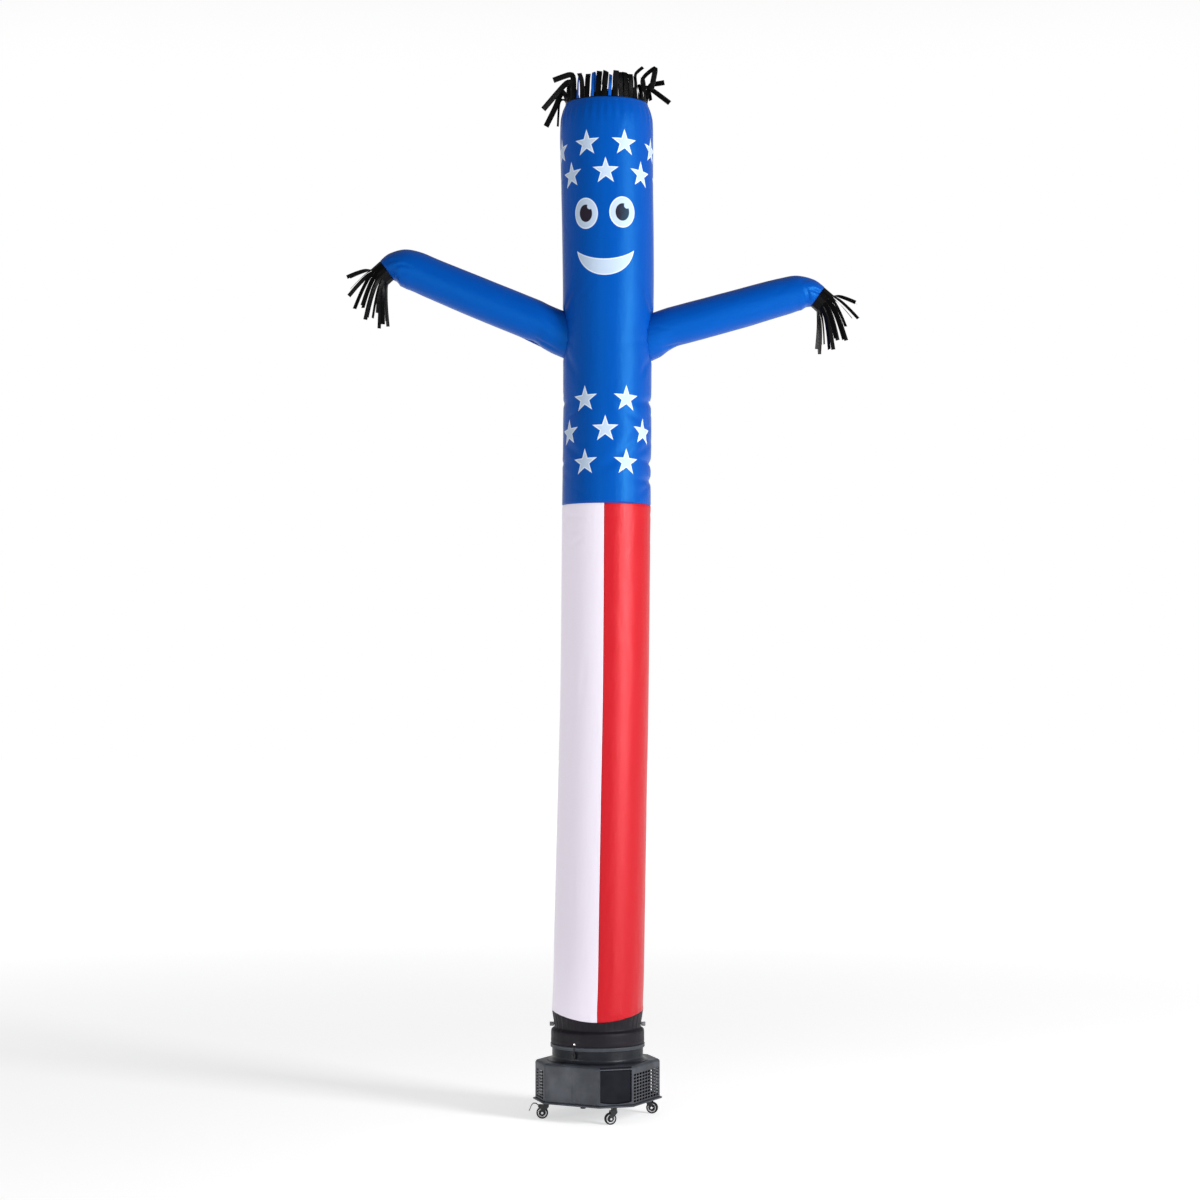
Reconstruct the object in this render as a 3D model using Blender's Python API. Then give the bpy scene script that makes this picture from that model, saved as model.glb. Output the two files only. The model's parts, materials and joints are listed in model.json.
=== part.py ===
"""Inflatable air dancer standing on its electric blower, at real size.

Metres, +Z up. The dancer faces -Y, and its left arm in this view points to -X. The origin is on the
ground under the middle of the blower.
"""
import math
from collections import namedtuple

import bmesh
import bpy
import numpy as np
from mathutils import Matrix, Vector

# ---- driving dimensions -------------------------------------------------------------------------
CLOTH = 0.0015            # wall of every cloth piece
SEAM_GAP = 0.0003         # between pieces that meet
TUBE_SIDES = 36
ARM_SIDES = 20

WAIST_HEIGHT = 3.185      # seam from the blue body to the white and red panels
RIM_HEIGHT = 5.275        # open top edge of the tube
HEM_HEIGHT = 0.557        # lower edge of the panels, at the sides
HEM_DIP = 0.042           # how much lower the panels' edge hangs at the front and the back
SKIRT_FOOT = 0.387        # lower edge of the black skirt
ARM_BAND = (3.66, 4.60)   # stretch of the body that the sleeves are trimmed to
PORT_INSET = 3 * CLOTH    # how much smaller than its sleeve the hole in the body is
FRONT_SEAM_FOOT = -90.7   # degrees round the tube where white meets red at the hem
FRONT_SEAM_DRIFT = -2.4   # and how far that moves to the white side by the waist
GATHER_FOLDS = 9          # soft upright folds of the skirt round the outlet's top
GATHER_DEPTH = 0.002
GATHER_HEIGHT = 0.495
GATHER_REACH = 0.03

BLOWER_TURN = math.radians(-27.5)
HOUSING_HALF = 0.284      # half the width across the main faces
HOUSING_EDGE = 0.160      # half the length of a main face, so the corners are cut off
HOUSING_FOOT = 0.1023
HOUSING_TOP = 0.298
HOUSING_BEVEL = 0.015
HOUSING_WALL = 0.004
RECESS_DEPTH = 0.008
RECESS_HALF = 0.080
RECESS_SPAN = (0.118, 0.272)
SPLIT_HALF = 0.0008       # the shallow joint line down the front and back
SPLIT_DEPTH = 0.001
OVERSHOOT = 0.01          # how far a cutter passes the surface that it cuts
OUTLET_BORE = 0.2325
PLATE_HALF = 0.296
PLATE_EDGE = 0.165
PLATE_FOOT = 0.090
PLATE_TOP = 0.102
PLATE_BEVEL = 0.003

SLOT_ROWS = 9
SLOT_PITCH = 0.0167
SLOT_HEIGHT = 0.009
SLOT_LOWEST = 0.1145      # middle of the lowest row of slots
SLOT_RIB = 0.004          # half the solid rib between two columns of slots
WINDOW = (0.1063, 0.2587)   # heights that a grille panel spans

KINGPIN_REACH = 0.280     # from the middle of the blower to each caster's swivel axis
TRAIL = 0.020
WHEEL_RADIUS = 0.031
WHEEL_SIDES = 20
WHEEL_HALF = 0.011
AXLE_HEIGHT = WHEEL_RADIUS * math.cos(math.pi / WHEEL_SIDES)
AXLE_RADIUS = 0.0042
FORK_INSIDE = 0.012
FORK_PLATE = 0.0025
CROWN_ENDS = (-0.014, 0.020)
CROWN_TOP = 0.0720
WHEEL_ROOM = 0.0047       # between the tyre and the crown
BEARING_RADIUS = 0.0155
BEARING_FOOT = 0.0690
PEDAL_PIVOT = (0.036, 0.066)   # along the trail, and height

KNOB_HEIGHT = 0.4807
KNOB_STEM = 0.004
KNOB_HOLE = KNOB_STEM + 3 * SEAM_GAP
FOOT_RADIUS = 0.014
FOOT_HEIGHTS = (0.081, PLATE_FOOT - SEAM_GAP)
FOOT_PLACE = (0.056, -0.268, 0.0)

# The tube's middle and width, going up. It leans a little, and its foot steps out over the outlet.
TubeRow = namedtuple("TubeRow", "height centre_x diameter")
TUBE = (
    TubeRow(0.387, 0.000, 0.485),
    TubeRow(0.440, 0.000, 0.486),
    TubeRow(0.455, 0.000, 0.482),
    TubeRow(0.469, 0.000, 0.450),
    TubeRow(0.490, 0.000, 0.452),
    TubeRow(0.530, 0.000, 0.466),
    TubeRow(0.557, 0.000, 0.474),
    TubeRow(0.710, 0.005, 0.473),
    TubeRow(1.024, 0.011, 0.472),
    TubeRow(1.651, 0.024, 0.466),
    TubeRow(2.277, 0.037, 0.461),
    TubeRow(3.216, 0.046, 0.462),
    TubeRow(3.560, 0.050, 0.461),
    TubeRow(3.937, 0.051, 0.462),
    TubeRow(4.313, 0.056, 0.475),
    TubeRow(4.584, 0.054, 0.478),
    TubeRow(4.845, 0.050, 0.480),
    TubeRow(5.130, 0.047, 0.486),
    TubeRow(5.185, 0.047, 0.481),
    TubeRow(5.240, 0.047, 0.457),
    TubeRow(5.275, 0.047, 0.431),
)
PANEL_STEPS = (0.0, 0.06, 0.2, 0.42, 0.65, 0.83, 1.0)
BLUE_HEIGHTS = (3.31, 3.404, 3.56, 3.717, 3.85, 4.08, 4.32, 4.60, 4.86, 5.08, 5.155, 5.20, 5.24)
SKIRT_HEIGHTS = (SKIRT_FOOT, 0.443, 0.456, 0.467, 0.483, 0.503)

# Dents where the cloth creases at the waist: side is the direction it is seen from, in degrees.
Dent = namedtuple("Dent", "height side depth reach")
DENTS = (
    Dent(3.717, 0, 0.005, 0.05),
    Dent(3.404, 5, 0.006, 0.035),
    Dent(3.310, -5, 0.006, 0.035),
    Dent(3.717, 180, 0.003, 0.05),
)

# Sleeves: reach and height of the middle, width seen from the front, width front to back, and how
# many degrees above level the sleeve points there. The hand bends down to a narrow cuff.
ArmRow = namedtuple("ArmRow", "reach height across deep turn")
LEFT_ARM = (
    ArmRow(0.130, 4.060, 0.232, 0.208, 22),
    ArmRow(0.185, 4.082, 0.228, 0.208, 23),
    ArmRow(0.240, 4.108, 0.219, 0.207, 26),
    ArmRow(0.290, 4.136, 0.206, 0.207, 24),
    ArmRow(0.345, 4.158, 0.215, 0.207, 22),
    ArmRow(0.600, 4.261, 0.214, 0.206, 22),
    ArmRow(0.860, 4.369, 0.207, 0.204, 22),
    ArmRow(0.960, 4.411, 0.205, 0.203, 18),
    ArmRow(1.020, 4.425, 0.192, 0.196, 4),
    ArmRow(1.064, 4.424, 0.158, 0.170, -16),
    ArmRow(1.100, 4.411, 0.121, 0.125, -36),
)
RIGHT_ARM = (
    ArmRow(0.235, 4.048, 0.236, 0.206, 17),
    ArmRow(0.285, 4.069, 0.232, 0.206, 19),
    ArmRow(0.340, 4.098, 0.210, 0.205, 22),
    ArmRow(0.390, 4.118, 0.205, 0.204, 18),
    ArmRow(0.440, 4.131, 0.206, 0.203, 15),
    ArmRow(0.740, 4.212, 0.203, 0.200, 15),
    ArmRow(0.980, 4.279, 0.192, 0.196, 14),
    ArmRow(1.050, 4.294, 0.181, 0.190, 4),
    ArmRow(1.105, 4.292, 0.152, 0.168, -16),
    ArmRow(1.149, 4.2735, 0.122, 0.126, -35),
)

CUFF_LENGTH = 0.052
CUFF_BEND = 12            # degrees that the cuff turns down further than the hand's end
TASSEL_STRIPS = 16
TASSEL_FILL = 0.72        # share of the cuff's edge that the strips take
TASSEL_LENGTHS = (0.195, 0.225, 0.185, 0.235, 0.205, 0.240, 0.190, 0.215)
TASSEL_FAN = 27           # degrees between the middle strips and the highest or lowest
TASSEL_SPLAY = 0.34
TASSEL_DROOP = 16         # degrees that a strip turns down along its length
TASSEL_BENDS = ((0.25, 0.0), (0.35, 0.5), (0.40, 1.0))   # shares of its length and of its droop

HAIR_STRIPS = 44
HAIR_FILL = 0.80          # share of the rim that the strips take
HAIR_THICK = 0.0014
HAIR_BAND = (5.252, 5.279)
HAIR_BAND_RADIUS = 0.2131
HAIR_SWAY = 0.007         # sideways lean of neighbouring strips, all together
HAIR_UNEVEN = 0.07        # how much longer or shorter than its form a strip is
HAIR_NOMINAL = 0.12       # height at which a strip has leaned by its whole sway
# How a strip stands up from the rim: pairs of outward and upward distances, in metres.
HAIR_FORMS = {
    "upright": ((-0.002, 0.045), (-0.004, 0.090), (-0.010, 0.122)),
    "fold_in": ((-0.004, 0.060), (-0.012, 0.112), (-0.026, 0.122), (-0.038, 0.100), (-0.042, 0.030)),
    "fold_out": ((0.000, 0.060), (0.002, 0.114), (0.014, 0.125), (0.027, 0.108), (0.036, 0.045)),
    "lean_out": ((0.003, 0.050), (0.012, 0.095), (0.034, 0.128)),
}
HAIR_ORDER = ("fold_in", "upright", "fold_out", "fold_in", "lean_out", "upright")
# Strips that stick out at the two sides: which strip, where it points in degrees, its width as a
# share of the others, and its path as above.
Stray = namedtuple("Stray", "index heading share path")
STRAY_STRIPS = (
    Stray(26, 180, 1.0, ((0.000, 0.070), (0.005, 0.118), (0.020, 0.126), (0.055, 0.116), (0.106, 0.097))),
    Stray(24, 180, 1.0, ((-0.012, 0.050), (-0.019, 0.088), (-0.004, 0.100), (0.028, 0.076), (0.130, -0.042))),
    Stray(22, 180, 1.0, ((0.004, 0.042), (0.016, 0.060), (0.032, 0.040), (0.056, -0.020), (0.104, -0.118))),
    Stray(21, 180, 0.4, ((0.006, 0.024), (0.022, 0.028), (0.035, 0.008), (0.040, -0.050), (0.043, -0.112))),
    Stray(39, 0, 1.0, ((-0.012, 0.060), (-0.022, 0.120), (-0.010, 0.142), (0.018, 0.165))),
    Stray(42, 0, 1.0, ((-0.012, 0.060), (-0.020, 0.122), (0.034, 0.174), (0.044, 0.164), (0.024, 0.066))),
    Stray(0, 0, 1.0, ((0.004, 0.060), (0.014, 0.098), (0.030, 0.108), (0.060, 0.113), (0.090, 0.118))),
    Stray(43, 0, 1.0, ((0.002, 0.040), (0.010, 0.074), (0.028, 0.070), (0.072, 0.038), (0.117, 0.004))),
)

# The outlet's section, radius and height, once round: flare, neck, flange ring, collar, inner lip.
OUTLET = (
    (0.262, 0.2983), (0.262, 0.301), (0.248, 0.306), (0.2395, 0.316), (0.2370, 0.330),
    (0.2365, 0.366), (0.2445, 0.368), (0.2445, 0.382), (0.2385, 0.384), (0.2385, 0.450),
    (0.2340, 0.4565), (0.2180, 0.4580), (0.2180, 0.4970), (0.2120, 0.4970), (0.2120, 0.4535),
    (OUTLET_BORE, 0.4500), (OUTLET_BORE, 0.2983),
)
TYRE = (
    (0.0235, -0.010), (0.0290, -0.0110), (WHEEL_RADIUS, -0.0075),
    (WHEEL_RADIUS, 0.0075), (0.0290, 0.0110), (0.0235, 0.010),
)
HUB = (
    (0.0046, -0.0095), (0.0105, -0.0095), (0.0125, -0.0055), (0.0180, -0.0055), (0.0228, -0.0095),
    (0.0228, 0.0095), (0.0180, 0.0055), (0.0125, 0.0055), (0.0105, 0.0095), (0.0046, 0.0095),
)
AXLE = (
    (0.0, -0.0178), (0.0070, -0.0178), (0.0070, -0.0149), (AXLE_RADIUS, -0.0149),
    (AXLE_RADIUS, 0.0149), (0.0070, 0.0149), (0.0070, 0.0178), (0.0, 0.0178),
)
LEG = (
    (CROWN_ENDS[0], CROWN_TOP), (CROWN_ENDS[1], CROWN_TOP), (0.0290, 0.0370), (0.0285, 0.0270),
    (0.0220, 0.0225), (0.0150, 0.0240), (0.0110, 0.0330), (CROWN_ENDS[0], 0.0610),
)
LUG = ((0.012, CROWN_TOP), (0.0410, CROWN_TOP), (0.0420, 0.0610), (0.0220, 0.0500))
PEDAL = ((0.0, 0.0), (0.016, 0.013), (0.030, 0.014), (0.040, 0.004), (0.052, -0.026))
PEDAL_THICK = 0.0035
PEDAL_HALF = 0.009
PEDAL_BARREL = 0.0042
KNOB = (
    (0.0, 0.2183), (KNOB_STEM, 0.2183), (KNOB_STEM, 0.2282), (0.0100, 0.2282),
    (0.0110, 0.2292), (0.0110, 0.2480), (0.0095, 0.2500), (0.0, 0.2500),
)

# Casters: the blower's corner that each stands under, and where its wheel trails, in degrees.
Caster = namedtuple("Caster", "name corner heading braked")
CASTERS = (
    Caster("left", (-1, -1), 180, True),
    Caster("front", (1, -1), 198, False),
    Caster("right", (1, 1), -18, False),
    Caster("back", (-1, 1), 55, False),
)

# The drawcord comes out of an eyelet at the skirt's foot and hangs down to its toggle.
CORD_RADIUS = 0.0015
CORD_ANGLE = math.radians(240.7)
CORD_REACH = 0.2484       # from the tube's middle to the hanging cord
CORD_ROUTE = ((0.2455, 0.4000), (0.2475, 0.3920), (0.2482, 0.3800), (CORD_REACH, 0.3645))
TAIL_ROUTE = ((0.0, 0.3250), (0.0003, 0.3180), (0.006, 0.3105), (0.014, 0.3095), (0.022, 0.3150))
LOCK = (
    (0.0, 0.3253), (0.0070, 0.3253), (0.0085, 0.3293), (0.0085, 0.3502),
    (0.0055, 0.3522), (0.0055, 0.3622), (0.0035, 0.3642), (0.0, 0.3642),
)
EYELET = ((0.0022, SEAM_GAP), (0.0055, SEAM_GAP), (0.0050, 0.0014), (0.0027, 0.0014))
EYELET_HEIGHT = 0.400
EYELET_SEAT = 0.2432      # radius of the skirt's outer face at the eyelet

# The housing's sides, as turns from the back face (+Y) round to the left. A grille also has the
# distance of its face, half its width and its columns of slots.
CORNER_REACH = (HOUSING_HALF + HOUSING_EDGE) / math.sqrt(2)
EIGHTH = math.pi / 4
Grille = namedtuple("Grille", "quarter reach half columns")
GRILLES = {
    "grille_left": Grille(2 * EIGHTH, HOUSING_HALF, 0.150, 2),
    "grille_right": Grille(-2 * EIGHTH, HOUSING_HALF, 0.150, 2),
    "grille_front_left": Grille(3 * EIGHTH, CORNER_REACH, 0.076, 1),
    "grille_back_right": Grille(-EIGHTH, CORNER_REACH, 0.076, 1),
}
RECESSES = {"front_right": -3 * EIGHTH, "back_left": EIGHTH}

Finish = namedtuple("Finish", "colour roughness metallic")
FINISHES = {
    "blue_cloth": Finish((0.006, 0.075, 0.420), 0.42, 0.0),
    "white_cloth": Finish((0.760, 0.690, 0.820), 0.50, 0.0),
    "red_cloth": Finish((0.750, 0.010, 0.020), 0.42, 0.0),
    "black_cloth": Finish((0.015, 0.014, 0.020), 0.60, 0.0),
    "black_strip": Finish((0.008, 0.008, 0.009), 0.45, 0.0),
    "black_cord": Finish((0.012, 0.012, 0.014), 0.70, 0.0),
    "grey_plastic": Finish((0.050, 0.057, 0.070), 0.48, 0.0),
    "light_plastic": Finish((0.220, 0.225, 0.240), 0.50, 0.0),
    "black_plastic": Finish((0.012, 0.012, 0.013), 0.40, 0.0),
    "black_metal": Finish((0.030, 0.032, 0.036), 0.45, 0.8),
    "steel": Finish((0.600, 0.600, 0.600), 0.30, 1.0),
    "tyre_rubber": Finish((0.014, 0.014, 0.015), 0.65, 0.0),
}


# ---- helpers ------------------------------------------------------------------------------------
def smooth(table, at, field):
    """A column of a table, read on a smooth curve that never overshoots its rows."""
    places = [row[0] for row in table]
    values = [getattr(row, field) for row in table]
    steps = np.diff(values) / np.diff(places)
    slopes = [0.0]
    for before, after in zip(steps[:-1], steps[1:]):
        slopes.append(2 * before * after / (before + after) if before * after > 0 else 0.0)
    slopes.append(0.0)
    i = int(np.clip(np.searchsorted(places, at) - 1, 0, len(places) - 2))
    span = places[i + 1] - places[i]
    t = min(max((at - places[i]) / span, 0.0), 1.0)
    rise = values[i + 1] - values[i]
    bend = slopes[i] * span * t * (1 - t) ** 2 - slopes[i + 1] * span * t * t * (1 - t)
    return values[i] + rise * t * t * (3 - 2 * t) + bend


def material(name):
    found = bpy.data.materials.get(name)
    if found:
        return found
    finish = FINISHES[name]
    made = bpy.data.materials.new(name)
    made.use_nodes = True
    shader = made.node_tree.nodes["Principled BSDF"]
    shader.inputs["Base Color"].default_value = (*finish.colour, 1.0)
    shader.inputs["Roughness"].default_value = finish.roughness
    shader.inputs["Metallic"].default_value = finish.metallic
    return made


def add_object(name, bm, finish, edge_angle=35):
    """Turn a bmesh into an object whose faces point outwards and whose round faces are smooth."""
    bmesh.ops.recalc_face_normals(bm, faces=bm.faces)
    mesh = bpy.data.meshes.new(name)
    bm.to_mesh(mesh)
    bm.free()
    mesh.shade_smooth()
    mesh.set_sharp_from_angle(angle=math.radians(edge_angle))
    return add_mesh_object(name, mesh, finish)


def add_mesh_object(name, mesh, finish):
    made = bpy.data.objects.new(name, mesh)
    if finish and not mesh.materials:
        mesh.materials.append(material(finish))
    bpy.context.collection.objects.link(made)
    return made


def add_tool(name, bm):
    """A body that only cuts or joins: drawn as wire and left out of the model."""
    tool = add_object(name, bm, None)
    tool.hide_render = True
    tool.display_type = "WIRE"
    return tool


def boolean(target, tool, operation="DIFFERENCE"):
    modifier = target.modifiers.new(tool.name, "BOOLEAN")
    modifier.operation = operation
    modifier.solver = "EXACT"
    modifier.object = tool


def loft(rows):
    """A solid through rings of points."""
    bm = bmesh.new()
    rings = [[bm.verts.new(point) for point in row] for row in rows]
    count = len(rows[0])
    for lower, upper in zip(rings, rings[1:]):
        for i in range(count):
            j = (i + 1) % count
            bm.faces.new((lower[i], lower[j], upper[j], upper[i]))
    bm.faces.new(rings[0][::-1])
    bm.faces.new(rings[-1])
    return bm


def shell(outer, inner, wrapped):
    """A sheet with an outer and an inner face, closed along its edges. Rows go up."""
    bm = bmesh.new()
    out = [[bm.verts.new(point) for point in row] for row in outer]
    ins = [[bm.verts.new(point) for point in row] for row in inner]
    columns = len(outer[0])
    spans = [(c, (c + 1) % columns) for c in range(columns if wrapped else columns - 1)]
    last = len(outer) - 1
    for c, d in spans:
        for r in range(last):
            bm.faces.new((out[r][c], out[r][d], out[r + 1][d], out[r + 1][c]))
            bm.faces.new((ins[r][d], ins[r][c], ins[r + 1][c], ins[r + 1][d]))
        bm.faces.new((ins[0][c], ins[0][d], out[0][d], out[0][c]))
        bm.faces.new((out[last][c], out[last][d], ins[last][d], ins[last][c]))
    if not wrapped:
        for r in range(last):
            bm.faces.new((ins[r][0], out[r][0], out[r + 1][0], ins[r + 1][0]))
            bm.faces.new((out[r][-1], ins[r][-1], ins[r + 1][-1], out[r + 1][-1]))
    return bm


def turned(profile, sides, axis="Z", start=0.0):
    """Spin a section of (radius, place along the axis) once round."""
    bm = bmesh.new()
    turn = Matrix.Rotation(start, 4, "Z")
    verts = [bm.verts.new(turn @ Vector((radius, 0, along))) for radius, along in profile]
    edges = [bm.edges.new(pair) for pair in zip(verts, verts[1:])]
    if profile[0][0] > 0:
        edges.append(bm.edges.new((verts[-1], verts[0])))
    bmesh.ops.spin(bm, geom=verts + edges, cent=(0, 0, 0), axis=(0, 0, 1), steps=sides,
                   angle=math.tau, use_merge=True)
    bmesh.ops.remove_doubles(bm, verts=bm.verts, dist=1e-6)
    if axis == "Y":
        bmesh.ops.transform(bm, matrix=Matrix.Rotation(math.pi / 2, 4, "X"), verts=bm.verts)
    if axis == "X":
        bmesh.ops.transform(bm, matrix=Matrix.Rotation(math.pi / 2, 4, "Y"), verts=bm.verts)
    return bm


def rod(radius, low, high, sides, axis="Z", centre=(0, 0, 0), start=0.0):
    bm = turned(((0.0, low), (radius, low), (radius, high), (0.0, high)), sides, axis, start)
    bmesh.ops.translate(bm, vec=centre, verts=bm.verts)
    return bm


def box(low, high):
    bm = bmesh.new()
    bmesh.ops.create_cube(bm, size=1.0)
    for vert in bm.verts:
        vert.co = [a if part < 0 else b for part, a, b in zip(vert.co, low, high)]
    return bm


def plate(outline, low, high):
    """An outline in X and Z, made thick along Y."""
    return loft([[(x, y, z) for x, z in outline] for y in (low, high)])


# ---- the tube -----------------------------------------------------------------------------------
def dent(angle, height):
    depth = 0.0
    for mark in DENTS:
        facing = max(0.0, math.cos(angle - math.radians(mark.side)))
        depth += mark.depth * facing ** 3 * math.exp(-(((height - mark.height) / mark.reach) ** 2))
    return depth


def gathers(angle, height):
    """Soft upright folds of the skirt between the hem and the outlet."""
    strength = max(0.0, 1 - abs(height - GATHER_HEIGHT) / GATHER_REACH)
    return GATHER_DEPTH * strength * math.sin(GATHER_FOLDS * angle)


def tube_point(angle, height, inset=0.0):
    radius = smooth(TUBE, height, "diameter") / 2 - dent(angle, height) + gathers(angle, height) - inset
    centre = smooth(TUBE, height, "centre_x")
    return Vector((centre + radius * math.cos(angle), radius * math.sin(angle), height))


def turn_angles(sides):
    return [math.tau * i / sides for i in range(sides)]


def hem_height(angle):
    return HEM_HEIGHT - HEM_DIP * math.sin(angle) ** 2


def tube_shell(angles, heights, wrapped):
    """heights gives each row's height at an angle."""
    outer = [[tube_point(a, height(a)) for a in angles] for height in heights]
    inner = [[tube_point(a, height(a), CLOTH) for a in angles] for height in heights]
    return shell(outer, inner, wrapped)


def level(height):
    return lambda angle: height


def make_body_blue():
    heights = [WAIST_HEIGHT + SEAM_GAP / 2, *BLUE_HEIGHTS, RIM_HEIGHT]
    bm = tube_shell(turn_angles(TUBE_SIDES), [level(h) for h in heights], True)
    body = add_object("body_blue", bm, "blue_cloth")
    for side, rows in ((-1, LEFT_ARM), (1, RIGHT_ARM)):
        port = [arm_ring(side, row, PORT_INSET) for row in rows[:4]]
        boolean(body, add_tool("port_tool", loft(port)))


def seam_angle(height):
    """The front seam between white and red drifts to the white side as it goes up."""
    share = (height - HEM_HEIGHT) / (WAIST_HEIGHT - HEM_HEIGHT)
    return math.radians(FRONT_SEAM_FOOT + FRONT_SEAM_DRIFT * share)


def make_panel(name, finish, side):
    """Half of the lower tube, from the back seam to the front seam."""
    half_gap = SEAM_GAP / 2 / (TUBE[8].diameter / 2)
    columns = TUBE_SIDES // 2 + 1
    outer, inner = [], []
    for step in PANEL_STEPS:
        rows = ([], [])
        for c in range(columns):
            share = c / (columns - 1)
            top = WAIST_HEIGHT - SEAM_GAP / 2
            rough = WAIST_HEIGHT + (HEM_HEIGHT - WAIST_HEIGHT) * (1 - step)
            front = seam_angle(rough)
            back = math.pi / 2
            if side < 0:
                angle = back + half_gap + (front + math.tau - back - 2 * half_gap) * share
            else:
                angle = front + half_gap + (back - front - 2 * half_gap) * share
            foot = hem_height(angle)
            height = foot + (top - foot) * step
            rows[0].append(tube_point(angle, height))
            rows[1].append(tube_point(angle, height, CLOTH))
        outer.append(rows[0])
        inner.append(rows[1])
    add_object(name, shell(outer, inner, False), finish)


def make_skirt():
    heights = [level(h) for h in SKIRT_HEIGHTS] + [lambda angle: hem_height(angle) - SEAM_GAP]
    skirt = add_object("skirt_black", tube_shell(turn_angles(TUBE_SIDES), heights, True), "black_cloth")
    reach = TUBE[0].diameter
    hole = rod(KNOB_HOLE, -reach, reach, 8, "X", (0, 0, KNOB_HEIGHT), math.pi / 8)
    boolean(skirt, add_tool("knob_hole_tool", hole))


# ---- the arms -----------------------------------------------------------------------------------
def arm_frame(side, row):
    turn = math.radians(row.turn)
    centre = Vector((side * row.reach, 0, row.height))
    along = Vector((side * math.cos(turn), 0, math.sin(turn)))
    up = Vector((-side * math.sin(turn), 0, math.cos(turn)))
    return centre, along, up


def arm_ring(side, row, inset=0.0, sides=ARM_SIDES):
    centre, along, up = arm_frame(side, row)
    across = along.cross(up)
    ring = []
    for angle in turn_angles(sides):
        rise = (row.across / 2 - inset) * math.cos(angle)
        reach = (row.deep / 2 - inset) * math.sin(angle)
        ring.append(centre + up * rise + across * reach)
    return ring


def make_arm(name, side, rows):
    outer = [arm_ring(side, row) for row in rows]
    inner = [arm_ring(side, row, CLOTH) for row in rows]
    arm = add_object(name, shell(outer, inner, True), "blue_cloth")
    heights = [h for h in BLUE_HEIGHTS if ARM_BAND[0] < h <= ARM_BAND[1]]
    core = [[tube_point(a, h, -SEAM_GAP) for a in turn_angles(TUBE_SIDES)] for h in heights]
    boolean(arm, add_tool("trim_tool", loft(core)))


# ---- strips: hair and tassels -------------------------------------------------------------------
def strip_sections(path, across, width, thick):
    """Four corners at each point of a path after its first, turned with the path and not twisted."""
    sections = []
    side = across.normalized()
    for i in range(1, len(path)):
        before = (path[i] - path[i - 1]).normalized()
        after = (path[min(i + 1, len(path) - 1)] - path[i]).normalized() if i + 1 < len(path) else before
        along = (before + after).normalized()
        side = (side - along * side.dot(along)).normalized()
        out = side.cross(along)
        half, skin = side * width / 2, out * thick / 2
        sections.append((path[i] - half + skin, path[i] + half + skin,
                         path[i] + half - skin, path[i] - half - skin))
    return sections


def fringe(rings, strips):
    """A band with a strip on every second stretch of its last edge. A ring is (outer, inner)."""
    bm = bmesh.new()
    out = [[bm.verts.new(point) for point in ring[0]] for ring in rings]
    ins = [[bm.verts.new(point) for point in ring[1]] for ring in rings]
    columns = len(out[0])
    last = len(rings) - 1
    for c in range(columns):
        d = (c + 1) % columns
        for r in range(last):
            bm.faces.new((out[r][c], out[r][d], out[r + 1][d], out[r + 1][c]))
            bm.faces.new((ins[r][d], ins[r][c], ins[r + 1][c], ins[r + 1][d]))
        bm.faces.new((ins[0][c], ins[0][d], out[0][d], out[0][c]))
        root = (out[last][c], out[last][d], ins[last][d], ins[last][c])
        if c % 2:
            bm.faces.new(root)
            continue
        for section in strips[c // 2]:
            tip = tuple(bm.verts.new(point) for point in section)
            for i in range(4):
                j = (i + 1) % 4
                bm.faces.new((root[i], root[j], tip[j], tip[i]))
            root = tip
        bm.faces.new(root)
    return bm


def comb_angles(count, fill):
    """Angles of both edges of each strip round a band."""
    pitch = math.tau / count
    angles = []
    for i in range(count):
        middle = pitch * (i + 0.5)
        angles += [middle - pitch * fill / 2, middle + pitch * fill / 2]
    return angles


def make_hair():
    centre = Vector((smooth(TUBE, RIM_HEIGHT, "centre_x"), 0, 0))
    angles = comb_angles(HAIR_STRIPS, HAIR_FILL)

    def ring(height):
        radii = (HAIR_BAND_RADIUS, HAIR_BAND_RADIUS - HAIR_THICK)
        return [[centre + Vector((r * math.cos(a), r * math.sin(a), height)) for a in angles] for r in radii]

    strays = {stray.index: stray for stray in STRAY_STRIPS}
    near_strays = {(index + step) % HAIR_STRIPS for index in strays for step in (-1, 1)}
    width = math.tau * HAIR_BAND_RADIUS / HAIR_STRIPS * HAIR_FILL
    middle = HAIR_BAND_RADIUS - HAIR_THICK / 2
    strips = []
    for i in range(HAIR_STRIPS):
        angle = math.tau * (i + 0.5) / HAIR_STRIPS
        radial = Vector((math.cos(angle), math.sin(angle), 0))
        across = Vector((-math.sin(angle), math.cos(angle), 0))
        root = centre + radial * middle + Vector((0, 0, HAIR_BAND[1]))
        if i in strays:
            heading = math.radians(strays[i].heading)
            points, share = strays[i].path, strays[i].share
            outward = Vector((math.cos(heading), math.sin(heading), 0))
            sway, stretch = 0.0, 1.0
        else:
            beside = i in near_strays
            order = "upright" if beside else HAIR_ORDER[i % len(HAIR_ORDER)]
            points, share, outward = HAIR_FORMS[order], 1.0, radial
            sway = 0.0 if beside else HAIR_SWAY * math.sin(3 * angle + 0.6)
            stretch = 1.0 + HAIR_UNEVEN * (math.sin(5.1 * i) - abs(math.cos(angle)) ** 3)
        path = [root]
        for out, up in points:
            drift = across * sway * up / HAIR_NOMINAL
            path.append(root + outward * out + Vector((0, 0, up * stretch)) + drift)
        strips.append(strip_sections(path, across, width * share, HAIR_THICK))
    add_object("hair", fringe([ring(h) for h in HAIR_BAND], strips), "black_strip")


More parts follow.
